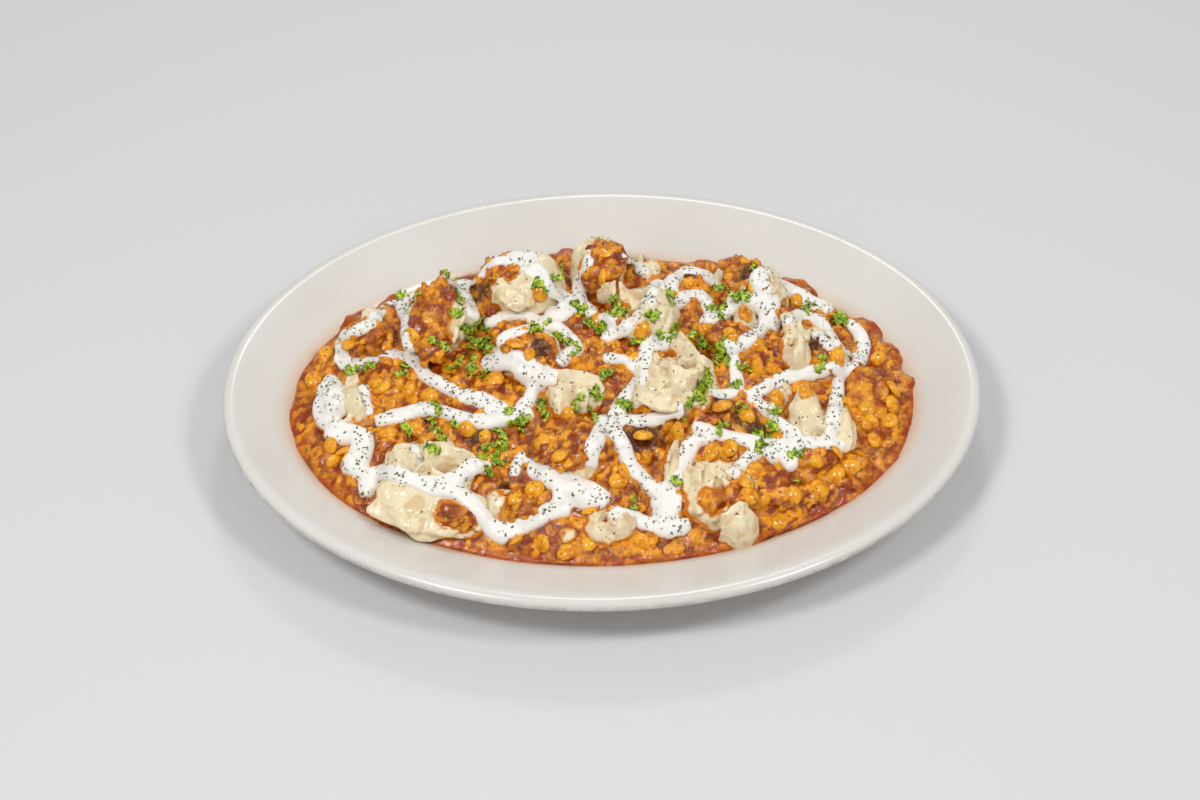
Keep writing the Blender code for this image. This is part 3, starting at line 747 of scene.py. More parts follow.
def fold_pouch(name, pouch, seed):
    """A pouch from a sphere, each of whose rings is one level of its profile."""
    draw = random.Random(seed)
    corner_rise = [draw.uniform(*CORNER_RISE) for _ in range(4)]
    loop_reach = [draw.uniform(*LOOP_REACH) for _ in range(4)]
    levels = WALL_LEVELS + 1 + EDGE_LEVELS + INNER_LEVELS + FILLING_LEVELS - 1
    profiles = {}
    bm = bmesh.new()
    relief = bm.verts.layers.float.new("relief")
    tone = bm.verts.layers.float.new("tone")
    for vert, angle, level in sphere_levels(bm, POUCH_SEGMENTS, levels):
        way = round(angle * POUCH_SEGMENTS / math.tau)
        if way not in profiles:
            rings = wall_rings(pouch, angle, corner_rise, loop_reach)
            profile = pouch_profile(pouch, rings, angle, seed)
            base = Vector((0, UNDERSIDE[1] * pouch.height, 0))
            crown = Vector((0, pouch.filling * pouch.height + FILLING_CROWN, 1))
            profiles[way] = [base, *profile, crown]
        radius, height, twisted = profiles[way][level]
        turned = angle + pouch.turn + twisted * pouch.twist
        vert.co = pouch.place + Vector((radius * math.cos(turned), radius * math.sin(turned), height))
        vert.select = level >= WALL_LEVELS + EDGE_LEVELS + INNER_LEVELS
        vert[relief], vert[tone] = 0.5, 0.5 + noise.noise(vert.co / 2)
    for face in bm.faces:
        face.material_index = int(all(vert.select for vert in face.verts))
    bmesh.ops.recalc_face_normals(bm, faces=bm.faces)
    made = new_piece(f"pouch_{name}", bm, thin_wheat_dough, tomato_stew)
    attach(made, "root")
    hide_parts(f"mantu_{name}")
    return made


def apply_modifiers(target):
    """Makes a piece's mesh what its modifiers make of it."""
    graph = bpy.context.evaluated_depsgraph_get()
    made = bpy.data.meshes.new_from_object(target.evaluated_get(graph))
    old = target.data
    target.modifiers.clear()
    target.data = made
    made.name = target.name
    bpy.data.meshes.remove(old)


def remesh(target, voxel):
    """Makes one skin round everything in a mesh."""
    modifier = target.modifiers.new("skin", "REMESH")
    modifier.mode = "VOXEL"
    modifier.voxel_size = voxel * MM
    modifier.use_smooth_shade = True
    apply_modifiers(target)


def lift_to_eye(point, lift):
    """The point that far higher on the line from a point to the eye."""
    return point + (EYE - point) * lift / (EYE.z - point.z)


def hang_fold(stations, target, seed):
    """A leaf of dough from its root, sunk in the food, up to its free edge, both on smooth curves
    through its stations: root x, root y, edge x, edge y, lift of the edge."""
    roots = [place_seen(target, x, y)[0] for x, y, _, _, _ in stations]
    seen = [place_seen(target, x, y)[0] for _, _, x, y, _ in stations]
    lifts = [min(station[4], max(0.5, FOLD_TOP - point.z)) for station, point in zip(stations, seen)]
    edges = [lift_to_eye(point, lift) for point, lift in zip(seen, lifts)]
    bm = bmesh.new()
    bmesh.ops.create_grid(bm, x_segments=FOLD_CELLS[0], y_segments=FOLD_CELLS[1], size=1.0)
    for vert in bm.verts:
        along, up = 0.5 + 0.5 * vert.co.x, 0.5 + 0.5 * vert.co.y
        root, edge = curve_through(roots, along), curve_through(edges, along)
        root = root - Vector((0, 0, FOLD_ROOT))
        out = Vector(FOLD_OUT).normalized()
        bulge = FOLD_BULGE * (edge - root).length * math.sin(math.pi * up)
        ripple = FOLD_RIPPLE * up * noise.noise(Vector((6 * along, up, 7.3 * seed)))
        vert.co = root.lerp(edge, up) + (bulge + ripple) * out
    bm.normal_update()
    back = bmesh.ops.extrude_face_region(bm, geom=bm.faces[:])["geom"]
    for vert in back:
        if isinstance(vert, bmesh.types.BMVert):
            vert.co += DOUGH_THICKNESS * vert.normal
    bmesh.ops.recalc_face_normals(bm, faces=bm.faces)
    return bm


def lay_lump(bm, lump, target, roundness):
    """Adds an uneven ellipsoid, sunk by about a third into what is seen at its place."""
    x, y, half_length, half_width, height, turn = lump
    point, normal = place_seen(target, x, y, LUMP_MARGIN)
    made = bmesh.ops.create_icosphere(bm, subdivisions=4, radius=1.0)["verts"]
    for vert in made:
        vert.co *= 1 + (1 - roundness) * noise.noise(2 * vert.co + point)
    bmesh.ops.scale(bm, vec=(half_length, half_width, height), verts=made)
    bmesh.ops.rotate(bm, matrix=Matrix.Rotation(math.radians(turn), 3, "Z"), verts=made)
    lean = normal.lerp(UP, LUMP_UPRIGHT)
    tip = UP.rotation_difference(lean).to_matrix()
    bmesh.ops.rotate(bm, matrix=tip, verts=made)
    centre = point - LUMP_SUNK * height * normal
    centre.z = min(centre.z, LUMP_TOP - 0.6 * height)
    bmesh.ops.translate(bm, vec=centre, verts=made)


def ease(bm, rounds):
    for _ in range(rounds):
        bmesh.ops.smooth_vert(
            bm, verts=bm.verts, factor=0.5, use_axis_x=True, use_axis_y=True, use_axis_z=True
        )


def soften(piece, voxel, rounds):
    """Makes one skin round everything in a piece and eases it, and keeps which faces are dough."""
    source = bmesh.new()
    source.from_mesh(piece.data)
    source.faces.ensure_lookup_table()
    old_faces = BVHTree.FromBMesh(source)
    finishes = list(piece.data.materials)
    remesh(piece, voxel)
    for finish in finishes:
        if finish.name not in piece.data.materials:
            piece.data.materials.append(finish)
    bm = bmesh.new()
    bm.from_mesh(piece.data)
    for face in bm.faces:
        nearest = old_faces.find_nearest(face.calc_center_median())[2]
        face.material_index = source.faces[nearest].material_index
    ease(bm, rounds)
    bm.to_mesh(piece.data)
    bm.free()
    source.free()
    piece.data.shade_smooth()


def add_folds(piece, name, target, first_seed):
    """Joins a pouch's leaves and swellings of dough to it."""
    bm = bmesh.new()
    for number, stations in enumerate(FOLDS.get(name, ())):
        leaf = hang_fold(stations, target, first_seed + number)
        made = new_piece("leaf", leaf)
        bm.from_mesh(made.data)
        bpy.data.objects.remove(made)
    bmesh.ops.scale(bm, vec=TO_MM, verts=bm.verts)
    for lump in PADS.get(name, ()):
        lay_lump(bm, lump, target, PAD_ROUNDNESS)
    bmesh.ops.scale(bm, vec=(MM, MM, MM), verts=bm.verts)
    bm.from_mesh(piece.data)
    bm.to_mesh(piece.data)
    bm.free()
    soften(piece, DOUGH_VOXEL, DOUGH_SMOOTHING)


numbered = enumerate(POUCHES.items())
pouches = [fold_pouch(name, pouch, seed) for seed, (name, pouch) in numbered]
bare_pouches = tree_of(*pouches)
for seed, (name, pouch) in enumerate(zip(POUCHES, pouches)):
    add_folds(pouch, name, bare_pouches, 10 * seed)

# Stew
# It fills the well to just under the rim's shoulder and is spooned over most of the pouches, so
# that it climbs them in lumps. Its surface is grains of mince, broken peas and oily sauce.
STEW_CELLS = (136, 88)
STEW_DEPTH = 7.0
STEW_VOXEL = 1.2
STEW_SINK = 0.8  # into the platter at most
STEW_UNDERSIDE = 0.975  # of its top's reach
RIM_REACH = 1.01  # of the level surface, and how far and how fast the rim wanders from it
RIM_WANDER = 0.02
RIM_WAVE = 14
DROP_HEIGHT = 90
OILY_FROM = 0.95
CRUMB_SIZES = ((7.0, 0.60), (3.4, 0.50))  # and how much of the relief each is
CRUMB_SEED = 5
CRUMB_BEND = 2.2
CRUMB_GAP = 0.4
POOL_LEVEL = 0.26
POOL_VARIES = 0.30
POOL_EDGE = 0.01
STAIN_REACH = 2.8
GRAIN_HEIGHT = 2.9
GRAIN_MIDDLE = 0.45
GRAIN_ENDS = 1.005  # the reach at which the grain has died away, and how fast it does
GRAIN_FADE = 28
SPOONFUL_ROUNDNESS = 0.65
SPOONFULS = (  # x, y, half length, half width, height, turn: lumps of stew that lie on the pouches
    (-15, -38, 15, 13, 6, 0), (5, -55, 11, 10, 5, 0), (48, -23, 12, 9, 5, 20),
    (-30, 13, 12, 10, 6, 0), (-74, 38, 10, 23, 6, -8), (-13, 80, 10, 14, 6, 0),
    (-52, 36, 9, 8, 4, 0), (76, 34, 9, 7, 4, 30), (90, 58, 12, 9, 5, 0), (40, 60, 9, 8, 4, 0),
    (-63, -67, 9, 6, 4, 0), (-96, -57, 6, 7, 4, 0), (-50, -8, 12, 7, 5, 0), (-24, -62, 12, 8, 5, 0),
    (64, 66, 8, 8, 4, 0), (-92, 4, 13, 10, 5, 0), (18, -42, 10, 9, 5, 0), (66, -5, 10, 8, 4, 0),
    (-50, 56, 5, 18, 4, 0), (2, 62, 9, 10, 5, 0), (118, -8, 12, 14, 4, 0), (76, -60, 15, 10, 5, 0),
    (100, -48, 13, 10, 4, 0), (-110, 52, 10, 10, 4, 0), (120, 30, 10, 12, 4, 0),
    (30, -74, 12, 6, 3, 0), (-103, 33, 11, 9, 6, 0), (-93, 45, 9, 9, 4, 0), (-43, 74, 7, 9, 2, 0),
    (3, 80, 9, 12, 5, 0), (-40, 25, 9, 7, 4, 0), (-24, 2, 8, 6, 4, 0), (14, 62, 8, 6, 4, 0),
    (33, 48, 6, 11, 5, 0), (8, 33, 7, 7, 4, 0), (52, -1, 7, 8, 4, 0), (19, -25, 7, 4, 3, 0),
    (70, 62, 6, 9, 4, 0), (58, 48, 7, 6, 4, 0), (58, 17, 10, 8, 5, 0), (66, 8, 9, 7, 4, 0),
    (50, 26, 7, 6, 4, 0), (98, 12, 8, 9, 4, 0), (103, 32, 9, 7, 4, 0), (76, 14, 6, 8, 4, 0),
    (74, -29, 7, 7, 4, 0), (97, -20, 4, 9, 3, 0), (90, -45, 9, 6, 4, 0), (47, -46, 10, 6, 5, 0),
    (56, -64, 8, 7, 4, 0), (45, -66, 6, 5, 3, 0), (31, -66, 5, 6, 4, 0), (2, -62, 9, 6, 4, 0),
    (10, -67, 8, 7, 4, 0), (-12, -64, 8, 6, 4, 0), (-40, -54, 9, 7, 5, 0), (-36, -67, 8, 7, 4, 0),
    (-73, -33, 6, 4, 3, 0), (-118, -30, 9, 10, 4, 0), (-118, 20, 8, 10, 4, 0),
    (124, 41, 9, 7, 4, 0), (130, 18, 8, 9, 4, 0), (131, 2, 7, 7, 4, 0), (100, 68, 9, 6, 4, 0),
    (-88, 62, 12, 6, 4, 0), (60, -80, 10, 4, 3, 0), (-30, -82, 14, 4, 3, 0), (12, -80, 9, 4, 3, 0),
    (50, 78, 12, 6, 4, 0), (118, -36, 9, 8, 4, 0),
)
CHARRED = (  # x, y, reach: browned meat
    (16, -38, 12), (48, -22, 9), (60, -27, 8), (64, -33, 7), (-50, 52, 8), (27, 70, 6), (-44, -60, 6),
    (70, 68, 7), (95, 20, 7), (22, -11, 5), (-55, -32, 8), (40, 60, 6), (-28, 12, 8), (106, 22, 6),
)


def soak(pouch, stew_faces):
    """Notes on each point of a pouch how near the stew is."""
    bm = bmesh.new()
    bm.from_mesh(pouch.data)
    stain = bm.verts.layers.float.new("stain")
    for vert in bm.verts:
        gap = stew_faces.find_nearest(vert.co, STAIN_REACH * MM)[3]
        vert[stain] = 0.0 if gap is None else 1 - gap / (STAIN_REACH * MM)
    bm.to_mesh(pouch.data)
    bm.free()


# Without a seed of its own, noise_vector starts from the clock.
noise.seed_set(CRUMB_SEED)


def crumbs(point):
    """(height, tone), each about 0 to 1, of small and large crumbs that stand in pools of sauce."""
    bent = point + CRUMB_BEND * noise.noise_vector(point / 6)
    tall = 0.0
    for size, share in CRUMB_SIZES:
        near, centres = noise.voronoi(bent / size)
        apart = min(1.0, (near[1] - near[0]) / CRUMB_GAP)
        own = noise.noise(9 * centres[0])
        tall += share * apart * (0.45 + 0.55 * (1 - near[0] ** 2) + 0.6 * own)
    level = POOL_LEVEL + POOL_VARIES * noise.noise(point / 7)
    over = tall - level
    height = level + 0.5 * (over + math.sqrt(over * over + POOL_EDGE))
    return height + 0.05 * noise.noise(point / 1.5), 0.5 + own


bm = bmesh.new()
bmesh.ops.create_grid(bm, x_segments=STEW_CELLS[0], y_segments=STEW_CELLS[1], size=1.0)
for vert in bm.verts:
    across, along = vert.co.x, vert.co.y
    x = STEW_HALF_LENGTH * across * math.sqrt(1 - 0.5 * along**2)
    y = STEW_HALF_WIDTH * along * math.sqrt(1 - 0.5 * across**2)
    reach = RIM_REACH + RIM_WANDER * min(0.3, noise.noise(Vector((x, y, 50)) / RIM_WAVE))
    vert.co = (reach * x, reach * y, stew_height(x, y))
bottom = bmesh.ops.extrude_face_region(bm, geom=bm.faces[:])["geom"]
for vert in bottom:
    if isinstance(vert, bmesh.types.BMVert):
        x, y, z = vert.co
        vert.co = (STEW_UNDERSIDE * x, STEW_UNDERSIDE * y, z - STEW_DEPTH)
bmesh.ops.recalc_face_normals(bm, faces=bm.faces)
level_stew = new_piece("level_stew", bm, tomato_stew)
food = tree_of(level_stew, *pouches)
bm = bmesh.new()
bm.from_mesh(level_stew.data)
bmesh.ops.scale(bm, vec=TO_MM, verts=bm.verts)
for lump in SPOONFULS:
    lay_lump(bm, lump, food, SPOONFUL_ROUNDNESS)
bpy.data.objects.remove(level_stew)
stew = new_piece("tomato_stew", bm, tomato_stew)
remesh(stew, STEW_VOXEL)
bm = bmesh.new()
bm.from_mesh(stew.data)
bm.normal_update()
relief = bm.verts.layers.float.new("relief")
char = bm.verts.layers.float.new("char")
tone = bm.verts.layers.float.new("tone")
oil = bm.verts.layers.float.new("oil")
charred = [(place_seen(food, x, y)[0], reach) for x, y, reach in CHARRED]
for vert in bm.verts:
    point = vert.co / MM
    grain, vert[tone] = crumbs(point)
    rim = math.hypot(point.x / STEW_HALF_LENGTH, point.y / STEW_HALF_WIDTH)
    vert[relief] = grain
    vert[char] = max(max(0.0, 1 - (point - centre).length / reach) for centre, reach in charred)
    full = min(1.0, GRAIN_FADE * max(0.0, GRAIN_ENDS - rim))
    vert.co += vert.normal * (GRAIN_HEIGHT * (grain - GRAIN_MIDDLE) * full) * MM
    vert[oil] = min(1.0, max(0.0, (rim - OILY_FROM) / (1 - OILY_FROM)))
    above = Vector((vert.co.x / MM, vert.co.y / MM, DROP_HEIGHT))
    inside = platter_faces.ray_cast(above, -UP)[0]
    vert.co.z = max(vert.co.z, (inside.z - STEW_SINK) * MM)
bm.to_mesh(stew.data)
bm.free()
stew_faces = tree_of(stew)
for pouch in pouches:
    soak(pouch, stew_faces)
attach(stew, "root")
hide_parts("stew")

# Split peas
# Cooked chana dal, about 9 mm across: halves of yellow peas, domed on one side and flat on the
# other, soft and whole, with a film of the stew on them.
PEA_RADIUS = 4.8
PEA_THICKNESS = 0.5  # of its radius, over its flat side
PEA_FLAT_SIDE = 0.35  # of the dome's height
PEA_UNEVEN = 0.08
PEA_SUNK = 0.9
PEA_YELLOW = "#F8BE2A"
PEA_AMBER = "#EE9E1A"
STEW_FILM = "#CC660A"
PEA_PLACES = (
    (-84, -4), (-92, -13), (-75, -10), (-96, 0), (-98, 3), (-121, 28), (-126, 12), (-118, -27),
    (-115, -36), (-92, -26), (-98, -57), (-47, -3), (-30, -60), (-38, -64), (-15, -26), (-20, -45),
    (-27, -38), (-18, -87), (-28, -82), (-8, -70), (-83, 26), (-26, 50), (2, 60), (5, -57),
    (13, -83), (28, -84), (30, -35), (44, -45), (52, -42), (59, -63), (65, -66), (72, -73),
    (55, -56), (62, -52), (90, -45), (97, -50), (105, -46), (90, -57), (78, -62), (115, -15),
    (124, -20), (113, -24), (116, -32), (128, -2), (134, 5), (90, 47), (68, 15), (65, 35),
    (85, -8), (60, -27), (5, 15), (19, 23), (75, -15), (88, -12),
)
LOOSE_PEAS = 55
LOOSE_PEA_REACH = (130, 82)
TOUCHING = 0.1
cooked_split_pea, tree, shader = new_material("cooked_split_pea")
place = add_node(tree, "ShaderNodeTexCoord").outputs["Object"]
tones = add_node(
    tree, "ShaderNodeTexNoise", {"Vector": place}, {"Scale": 1 / (10 * MM), "Detail": 1.0}
)
flesh = add_node(
    tree,
    "ShaderNodeMix",
    {"Factor": tones.outputs["Fac"]},
    {6: linear(PEA_YELLOW), 7: linear(PEA_AMBER)},
    data_type="RGBA",
)
film = add_node(
    tree,
    "ShaderNodeTexNoise",
    {"Vector": place},
    {"Scale": 1 / (3.5 * MM), "Detail": 3.0, "Roughness": 0.6},
)
coated = add_node(
    tree,
    "ShaderNodeMapRange",
    {"Value": film.outputs["Fac"]},
    {"From Min": 0.42, "From Max": 0.66, "To Max": 0.8},
)
coloured = add_node(
    tree,
    "ShaderNodeMix",
    {"Factor": coated.outputs["Result"], 6: flesh.outputs[2]},
    {7: linear(STEW_FILM)},
    data_type="RGBA",
)
tree.links.new(coloured.outputs[2], shader.inputs["Base Color"])
shader.inputs["Roughness"].default_value = 0.16
shader.inputs["Subsurface Weight"].default_value = 0.25
shader.inputs["Subsurface Radius"].default_value = (1.0, 0.5, 0.1)
shader.inputs["Subsurface Scale"].default_value = 1.5 * MM


def shape_of(bm):
    """The points and faces of a small shape, whose bmesh is freed."""
    bm.verts.index_update()
    points = [vert.co.copy() for vert in bm.verts]
    faces = [[vert.index for vert in face.verts] for face in bm.faces]
    bm.free()
    return points, faces


def upright_to(normal, spread, draw):
    """A random turn about Z, then a tilt from Z to a normal, with up to spread added sideways."""
    lean = normal + spread * Vector((draw.uniform(-1, 1), draw.uniform(-1, 1), 0))
    tilt = UP.rotation_difference(lean.normalized()).to_matrix()
    return (tilt @ Matrix.Rotation(draw.uniform(0, math.tau), 3, "Z")).to_4x4()


def drop(target, reach, draw):
    """(place in metres, normal) of what is under a random place inside an oval."""
    turn, share = draw.uniform(0, math.tau), math.sqrt(draw.random())
    x, y = reach[0] * share * math.cos(turn), reach[1] * share * math.sin(turn)
    return target.ray_cast(Vector((x, y, DROP_HEIGHT)) * MM, -UP)[:2]


def scatter(name, copies, finish):
    """One mesh of many small things, each a (shape, matrix) in millimetres."""
    corners, faces = [], []
    for (points, polygons), matrix in copies:
        start = len(corners)
        corners += [matrix @ point * MM for point in points]
        faces += [[start + corner for corner in polygon] for polygon in polygons]
    mesh = bpy.data.meshes.new(name)
    mesh.from_pydata(corners, [], faces)
    mesh.materials.append(finish)
    mesh.shade_smooth()
    made = bpy.data.objects.new(name, mesh)
    bpy.context.scene.collection.objects.link(made)
    return made


def half_pea(draw):
    """A dome over a nearly flat face, a little longer than wide."""
    bm = bmesh.new()
    bmesh.ops.create_uvsphere(bm, u_segments=12, v_segments=7, radius=1.0)
    for vert in bm.verts:
        if vert.co.z < 0:
            vert.co.z *= PEA_FLAT_SIDE
        vert.co *= 1 + PEA_UNEVEN * noise.noise(1.5 * vert.co + Vector((draw.uniform(0, 99), 0, 0)))
    radius = PEA_RADIUS * draw.uniform(0.85, 1.08)
    size = (radius, radius * draw.uniform(0.82, 0.95), PEA_THICKNESS * radius)
    bmesh.ops.scale(bm, vec=size, verts=bm.verts)
    return shape_of(bm)


draw = random.Random(11)
food = tree_of(stew, *pouches)
bare_stew = tree_of(stew)
places = [place_seen(food, x, y, PEA_RADIUS + 0.2) for x, y in PEA_PLACES]
while len(places) < len(PEA_PLACES) + LOOSE_PEAS:
    hit, normal = drop(food, LOOSE_PEA_REACH, draw)
    near = bare_stew.find_nearest(hit)[3]
    if near < TOUCHING * MM and normal.z > 0.5:
        places.append((hit / MM, normal))
copies = []
for point, normal in places:
    lying = Matrix.Translation(point - PEA_SUNK * normal) @ upright_to(normal, 0.5, draw)
    copies.append((half_pea(draw), lying))
peas = scatter("split_peas", copies, cooked_split_pea)
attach(peas, "root")

# Yogurt
# Thick strained yogurt, thinned with a little water and poured from a spoon in long loops. Its
# strands keep a round back, sink where they cross and pool in a few places.
DRIZZLE = (  # width, then the route of the strand's middle
    (6.5, (-73, 77), (-81, 68), (-86, 61), (-88, 53), (-86, 43), (-86, 33), (-84, 23), (-81, 15)),
    (6.5, (-83, 77), (-91, 69), (-97, 66), (-100, 61), (-100, 49), (-101, 43), (-106, 39), (-112, 41),
     (-117, 38), (-114, 29), (-116, 18)),
    (6.5, (-116, 18), (-110, 16), (-102, 14), (-96, 18), (-90, 17), (-83, 11), (-78, 4), (-72, -2),
     (-66, -7), (-61, -11)),
    (7.0, (-73, 77), (-68, 68), (-62, 57), (-58, 45), (-57, 34)),
    (6.0, (-66, 68), (-58, 63), (-52, 72), (-49, 81), (-43, 88)),
    (6.5, (-39, 94), (-32, 98), (-24, 99), (-19, 99)),
    (8.0, (-43, 80), (-38, 86), (-30, 89), (-22, 90)),
    (10.0, (-38, 87), (-34, 77), (-28, 68), (-23, 58), (-17, 49), (-14, 39), (-19, 33), (-24, 36)),
    (7.0, (-2, 82), (-7, 68), (-9, 55), (-8, 43), (-3, 33)),
    (7.0, (-51, 29), (-44, 34), (-33, 35), (-26, 29), (-18, 25), (-13, 17), (-11, 11), (-17, 8),
     (-19, 3)),
    (5.5, (-44, 16), (-42, 23), (-34, 26), (-26, 28)),
    (9.5, (-52, 8), (-43, 8), (-36, 7), (-34, 1), (-28, -3), (-19, -3)),
    (13.0, (-37, 5), (-28, 0), (-22, -1)),
    (6.5, (-28, -3), (-32, -15), (-37, -23)),
    (7.0, (-117, 11), (-121, 2), (-123, -7), (-119, -17)),
    (11.0, (-119, 9), (-117, -3), (-114, -14)),
    (11.0, (-119, -17), (-111, -23), (-103, -28), (-106, -37), (-109, -43)),
    (6.0, (-104, 2), (-103, -7), (-101, -16)),
    (7.5, (-98, -21), (-88, -18), (-78, -16), (-68, -19), (-58, -25), (-48, -26), (-38, -25),
     (-30, -23)),
    (8.0, (-63, -12), (-56, -13), (-47, -18), (-41, -23)),
    (5.0, (-81, -34), (-79, -42), (-77, -47)),
    (8.5, (-102, -54), (-99, -45), (-92, -44), (-86, -48), (-77, -53), (-68, -56), (-58, -62),
     (-52, -69), (-48, -75), (-41, -76), (-32, -72), (-22, -69), (-16, -67)),
    (8.0, (-72, -55), (-62, -51), (-54, -46), (-48, -49)),
    (5.0, (-39, -54), (-38, -47), (-34, -43)),
    (11.5, (-33, -49), (-26, -53), (-17, -59), (-7, -64), (0, -68)),
    (14.0, (-23, -63), (-18, -63)),
    (7.0, (0, -26), (-2, -34), (-6, -43), (-7, -52)),
    (7.0, (0, -26), (4, -32), (8, -43), (11, -53), (17, -59), (21, -63), (28, -59), (32, -54),
     (34, -44), (39, -38), (46, -38)),
    (14.0, (24, -62), (25, -74)),
    (7.0, (0, -71), (9, -72), (14, -75), (20, -77), (28, -77), (34, -75)),
    (7.0, (37, -31), (44, -35), (53, -37), (62, -39), (71, -41), (80, -39), (89, -37), (98, -37),
     (102, -39)),
    (6.0, (69, -41), (61, -45), (56, -51), (52, -55)),
    (11.0, (66, -41), (73, -43), (78, -46), (74, -49)),
    (7.0, (103, -1), (102, -11), (99, -21), (97, -29), (96, -35)),
    (6.5, (62, -16), (69, -11), (77, -5), (82, -3), (88, -1), (94, 2), (102, 5), (109, 3)),
    (6.0, (58, 7), (57, -2), (58, -11), (53, -15), (44, -14)),
    (6.0, (62, -16), (69, -21), (73, -27), (80, -33), (83, -36)),
    (6.5, (110, 38), (116, 33), (117, 24), (116, 16), (111, 7), (106, 5)),
    (6.0, (82, 29), (87, 37), (92, 38), (98, 34), (102, 27), (104, 19), (109, 16)),
    (5.0, (96, 27), (98, 21), (102, 15)),
    (6.5, (53, 14), (61, 15), (67, 19), (71, 27), (76, 33), (80, 27)),
    (7.0, (34, 39), (39, 46), (44, 48), (48, 42), (50, 33), (54, 32), (59, 41), (62, 49)),
    (9.0, (44, 29), (52, 30)),
    (8.5, (62, 49), (69, 43), (77, 42), (79, 47), (76, 53), (73, 61), (74, 68), (78, 77)),
    (10.0, (84, 75), (90, 64), (94, 57), (100, 51), (107, 49)),
    (6.0, (37, 66), (33, 57), (34, 49)),
    (6.0, (37, 66), (44, 67), (50, 63), (53, 58)),
    (6.5, (12, 84), (16, 76), (19, 66), (23, 62)),
    (7.0, (27, 58), (24, 49), (22, 41), (18, 33), (12, 25), (6, 23), (1, 17)),
    (6.0, (0, 33), (7, 29)),
    (5.5, (0, 7), (6, 7), (11, 5), (14, -1)),
    (7.5, (32, 16), (24, 16), (20, 12), (19, 3), (16, -6), (11, -15), (7, -21), (3, -26)),
    (6.0, (7, -28), (14, -29), (22, -28), (29, -26), (34, -21)),
)
DRIZZLE_STEP = 2.0
DRIZZLE_EASE = 4
STRAND_GROWTH = 1.06
DRIZZLE_VOXEL = 0.87
DRIZZLE_SMOOTHING = 4
STRAND_SIDES = 10
STRAND_THICKNESS = 0.30  # a strand's height as a share of its width
STRAND_RAGGED = 0.38
STRAND_SINK = 1.6
STRAND_END = 0.7  # of its width, over which it narrows
DRAPE = 0.55  # how far a strand follows what is under it, and between which heights
DRAPE_RANGE = (-2.5, 1.5)
RAGGED_LENGTH = 9
YOGURT_WHITE = "#F8F6F0"
YOGURT_SHADE = "#EBE8E0"
strained_yogurt, tree, shader = new_material("strained_yogurt")
place = add_node(tree, "ShaderNodeTexCoord").outputs["Object"]
curd = add_node(
    tree, "ShaderNodeTexNoise", {"Vector": place}, {"Scale": 1 / (6 * MM), "Detail": 3.0}
)
coloured = add_node(
    tree,
    "ShaderNodeMix",
    {"Factor": curd.outputs["Fac"]},
    {6: linear(YOGURT_WHITE), 7: linear(YOGURT_SHADE)},
    data_type="RGBA",
)
curd_bump = add_node(
    tree, "ShaderNodeBump", {"Height": curd.outputs["Fac"]}, {"Strength": 0.2, "Distance": 0.5 * MM}
)
tree.links.new(coloured.outputs[2], shader.inputs["Base Color"])
tree.links.new(curd_bump.outputs["Normal"], shader.inputs["Normal"])
shader.inputs["Roughness"].default_value = 0.32
shader.inputs["IOR"].default_value = 1.4
shader.inputs["Subsurface Weight"].default_value = 0.3
shader.inputs["Subsurface Radius"].default_value = (1.0, 0.8, 0.6)
shader.inputs["Subsurface Scale"].default_value = 1.5 * MM


def walk(route, step):
    """Points every step or so along a smooth curve through a route."""
    knots = [Vector(knot) for knot in route]
    length = sum((end - start).length for start, end in zip(knots, knots[1:]))
    count = max(2, round(length / step))
    return [curve_through(knots, number / count) for number in range(count + 1)]


def pour_strand(width, route, target, draw):
    """A strand of yogurt draped over what is under it: a strip bent along its route, with a round
    back, and closed underneath."""
    middle = [place_seen(target, *point, 0.5 * width)[0] for point in walk(route, DRIZZLE_STEP)]
    for _ in range(DRIZZLE_EASE):
        inner = zip(middle, middle[1:], middle[2:])
        middle[1:-1] = [0.5 * here + 0.25 * (before + after) for before, here, after in inner]
    length = DRIZZLE_STEP * (len(middle) - 1)
    wobble = draw.uniform(0, 100)
    bm = bmesh.new()
    bmesh.ops.create_grid(bm, x_segments=len(middle) - 1, y_segments=STRAND_SIDES, size=1.0)
    for vert in bm.verts:
        along, share = 0.5 + 0.5 * vert.co.x, vert.co.y
        point = curve_through(middle, along)
        heading = curve_through(middle, along + 0.02) - curve_through(middle, along - 0.02)
        side = heading.cross(UP).normalized()
        to_end = min(along, 1 - along) * length
        taper = math.sqrt(min(1.0, (0.25 * width + to_end) / (STRAND_END * width)))
        ragged = noise.noise(Vector((along * length / RAGGED_LENGTH, wobble + 3 * (share > 0), 0)))
        half = 0.5 * STRAND_GROWTH * width * taper * (1 + STRAND_RAGGED * ragged)
        spot = point + share * half * side
        hit = target.ray_cast((spot + 8 * UP) * MM, -UP)[0]
        under = hit.z / MM if hit else spot.z
        under = min(max(under, point.z + DRAPE_RANGE[0]), point.z + DRAPE_RANGE[1])
        ground = (1 - DRAPE) * point.z + DRAPE * under
        back = STRAND_THICKNESS * width * taper * math.sqrt(max(0.0, 1 - share * share))
        vert.co = (spot.x, spot.y, ground + back)
    bottom = bmesh.ops.extrude_face_region(bm, geom=bm.faces[:])["geom"]
    for vert in bottom:
        if isinstance(vert, bmesh.types.BMVert):
            vert.co.z -= STRAND_SINK + 0.2 * width
    bmesh.ops.recalc_face_normals(bm, faces=bm.faces)
    return shape_of(bm)


draw = random.Random(7)
food = tree_of(stew, peas, *pouches)
strands = [(pour_strand(width, route, food, draw), Matrix()) for width, *route in DRIZZLE]
yogurt = scatter("yogurt", strands, strained_yogurt)
remesh(yogurt, DRIZZLE_VOXEL)
bm = bmesh.new()
bm.from_mesh(yogurt.data)
ease(bm, DRIZZLE_SMOOTHING)
bm.to_mesh(yogurt.data)
bm.free()
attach(yogurt, "root")

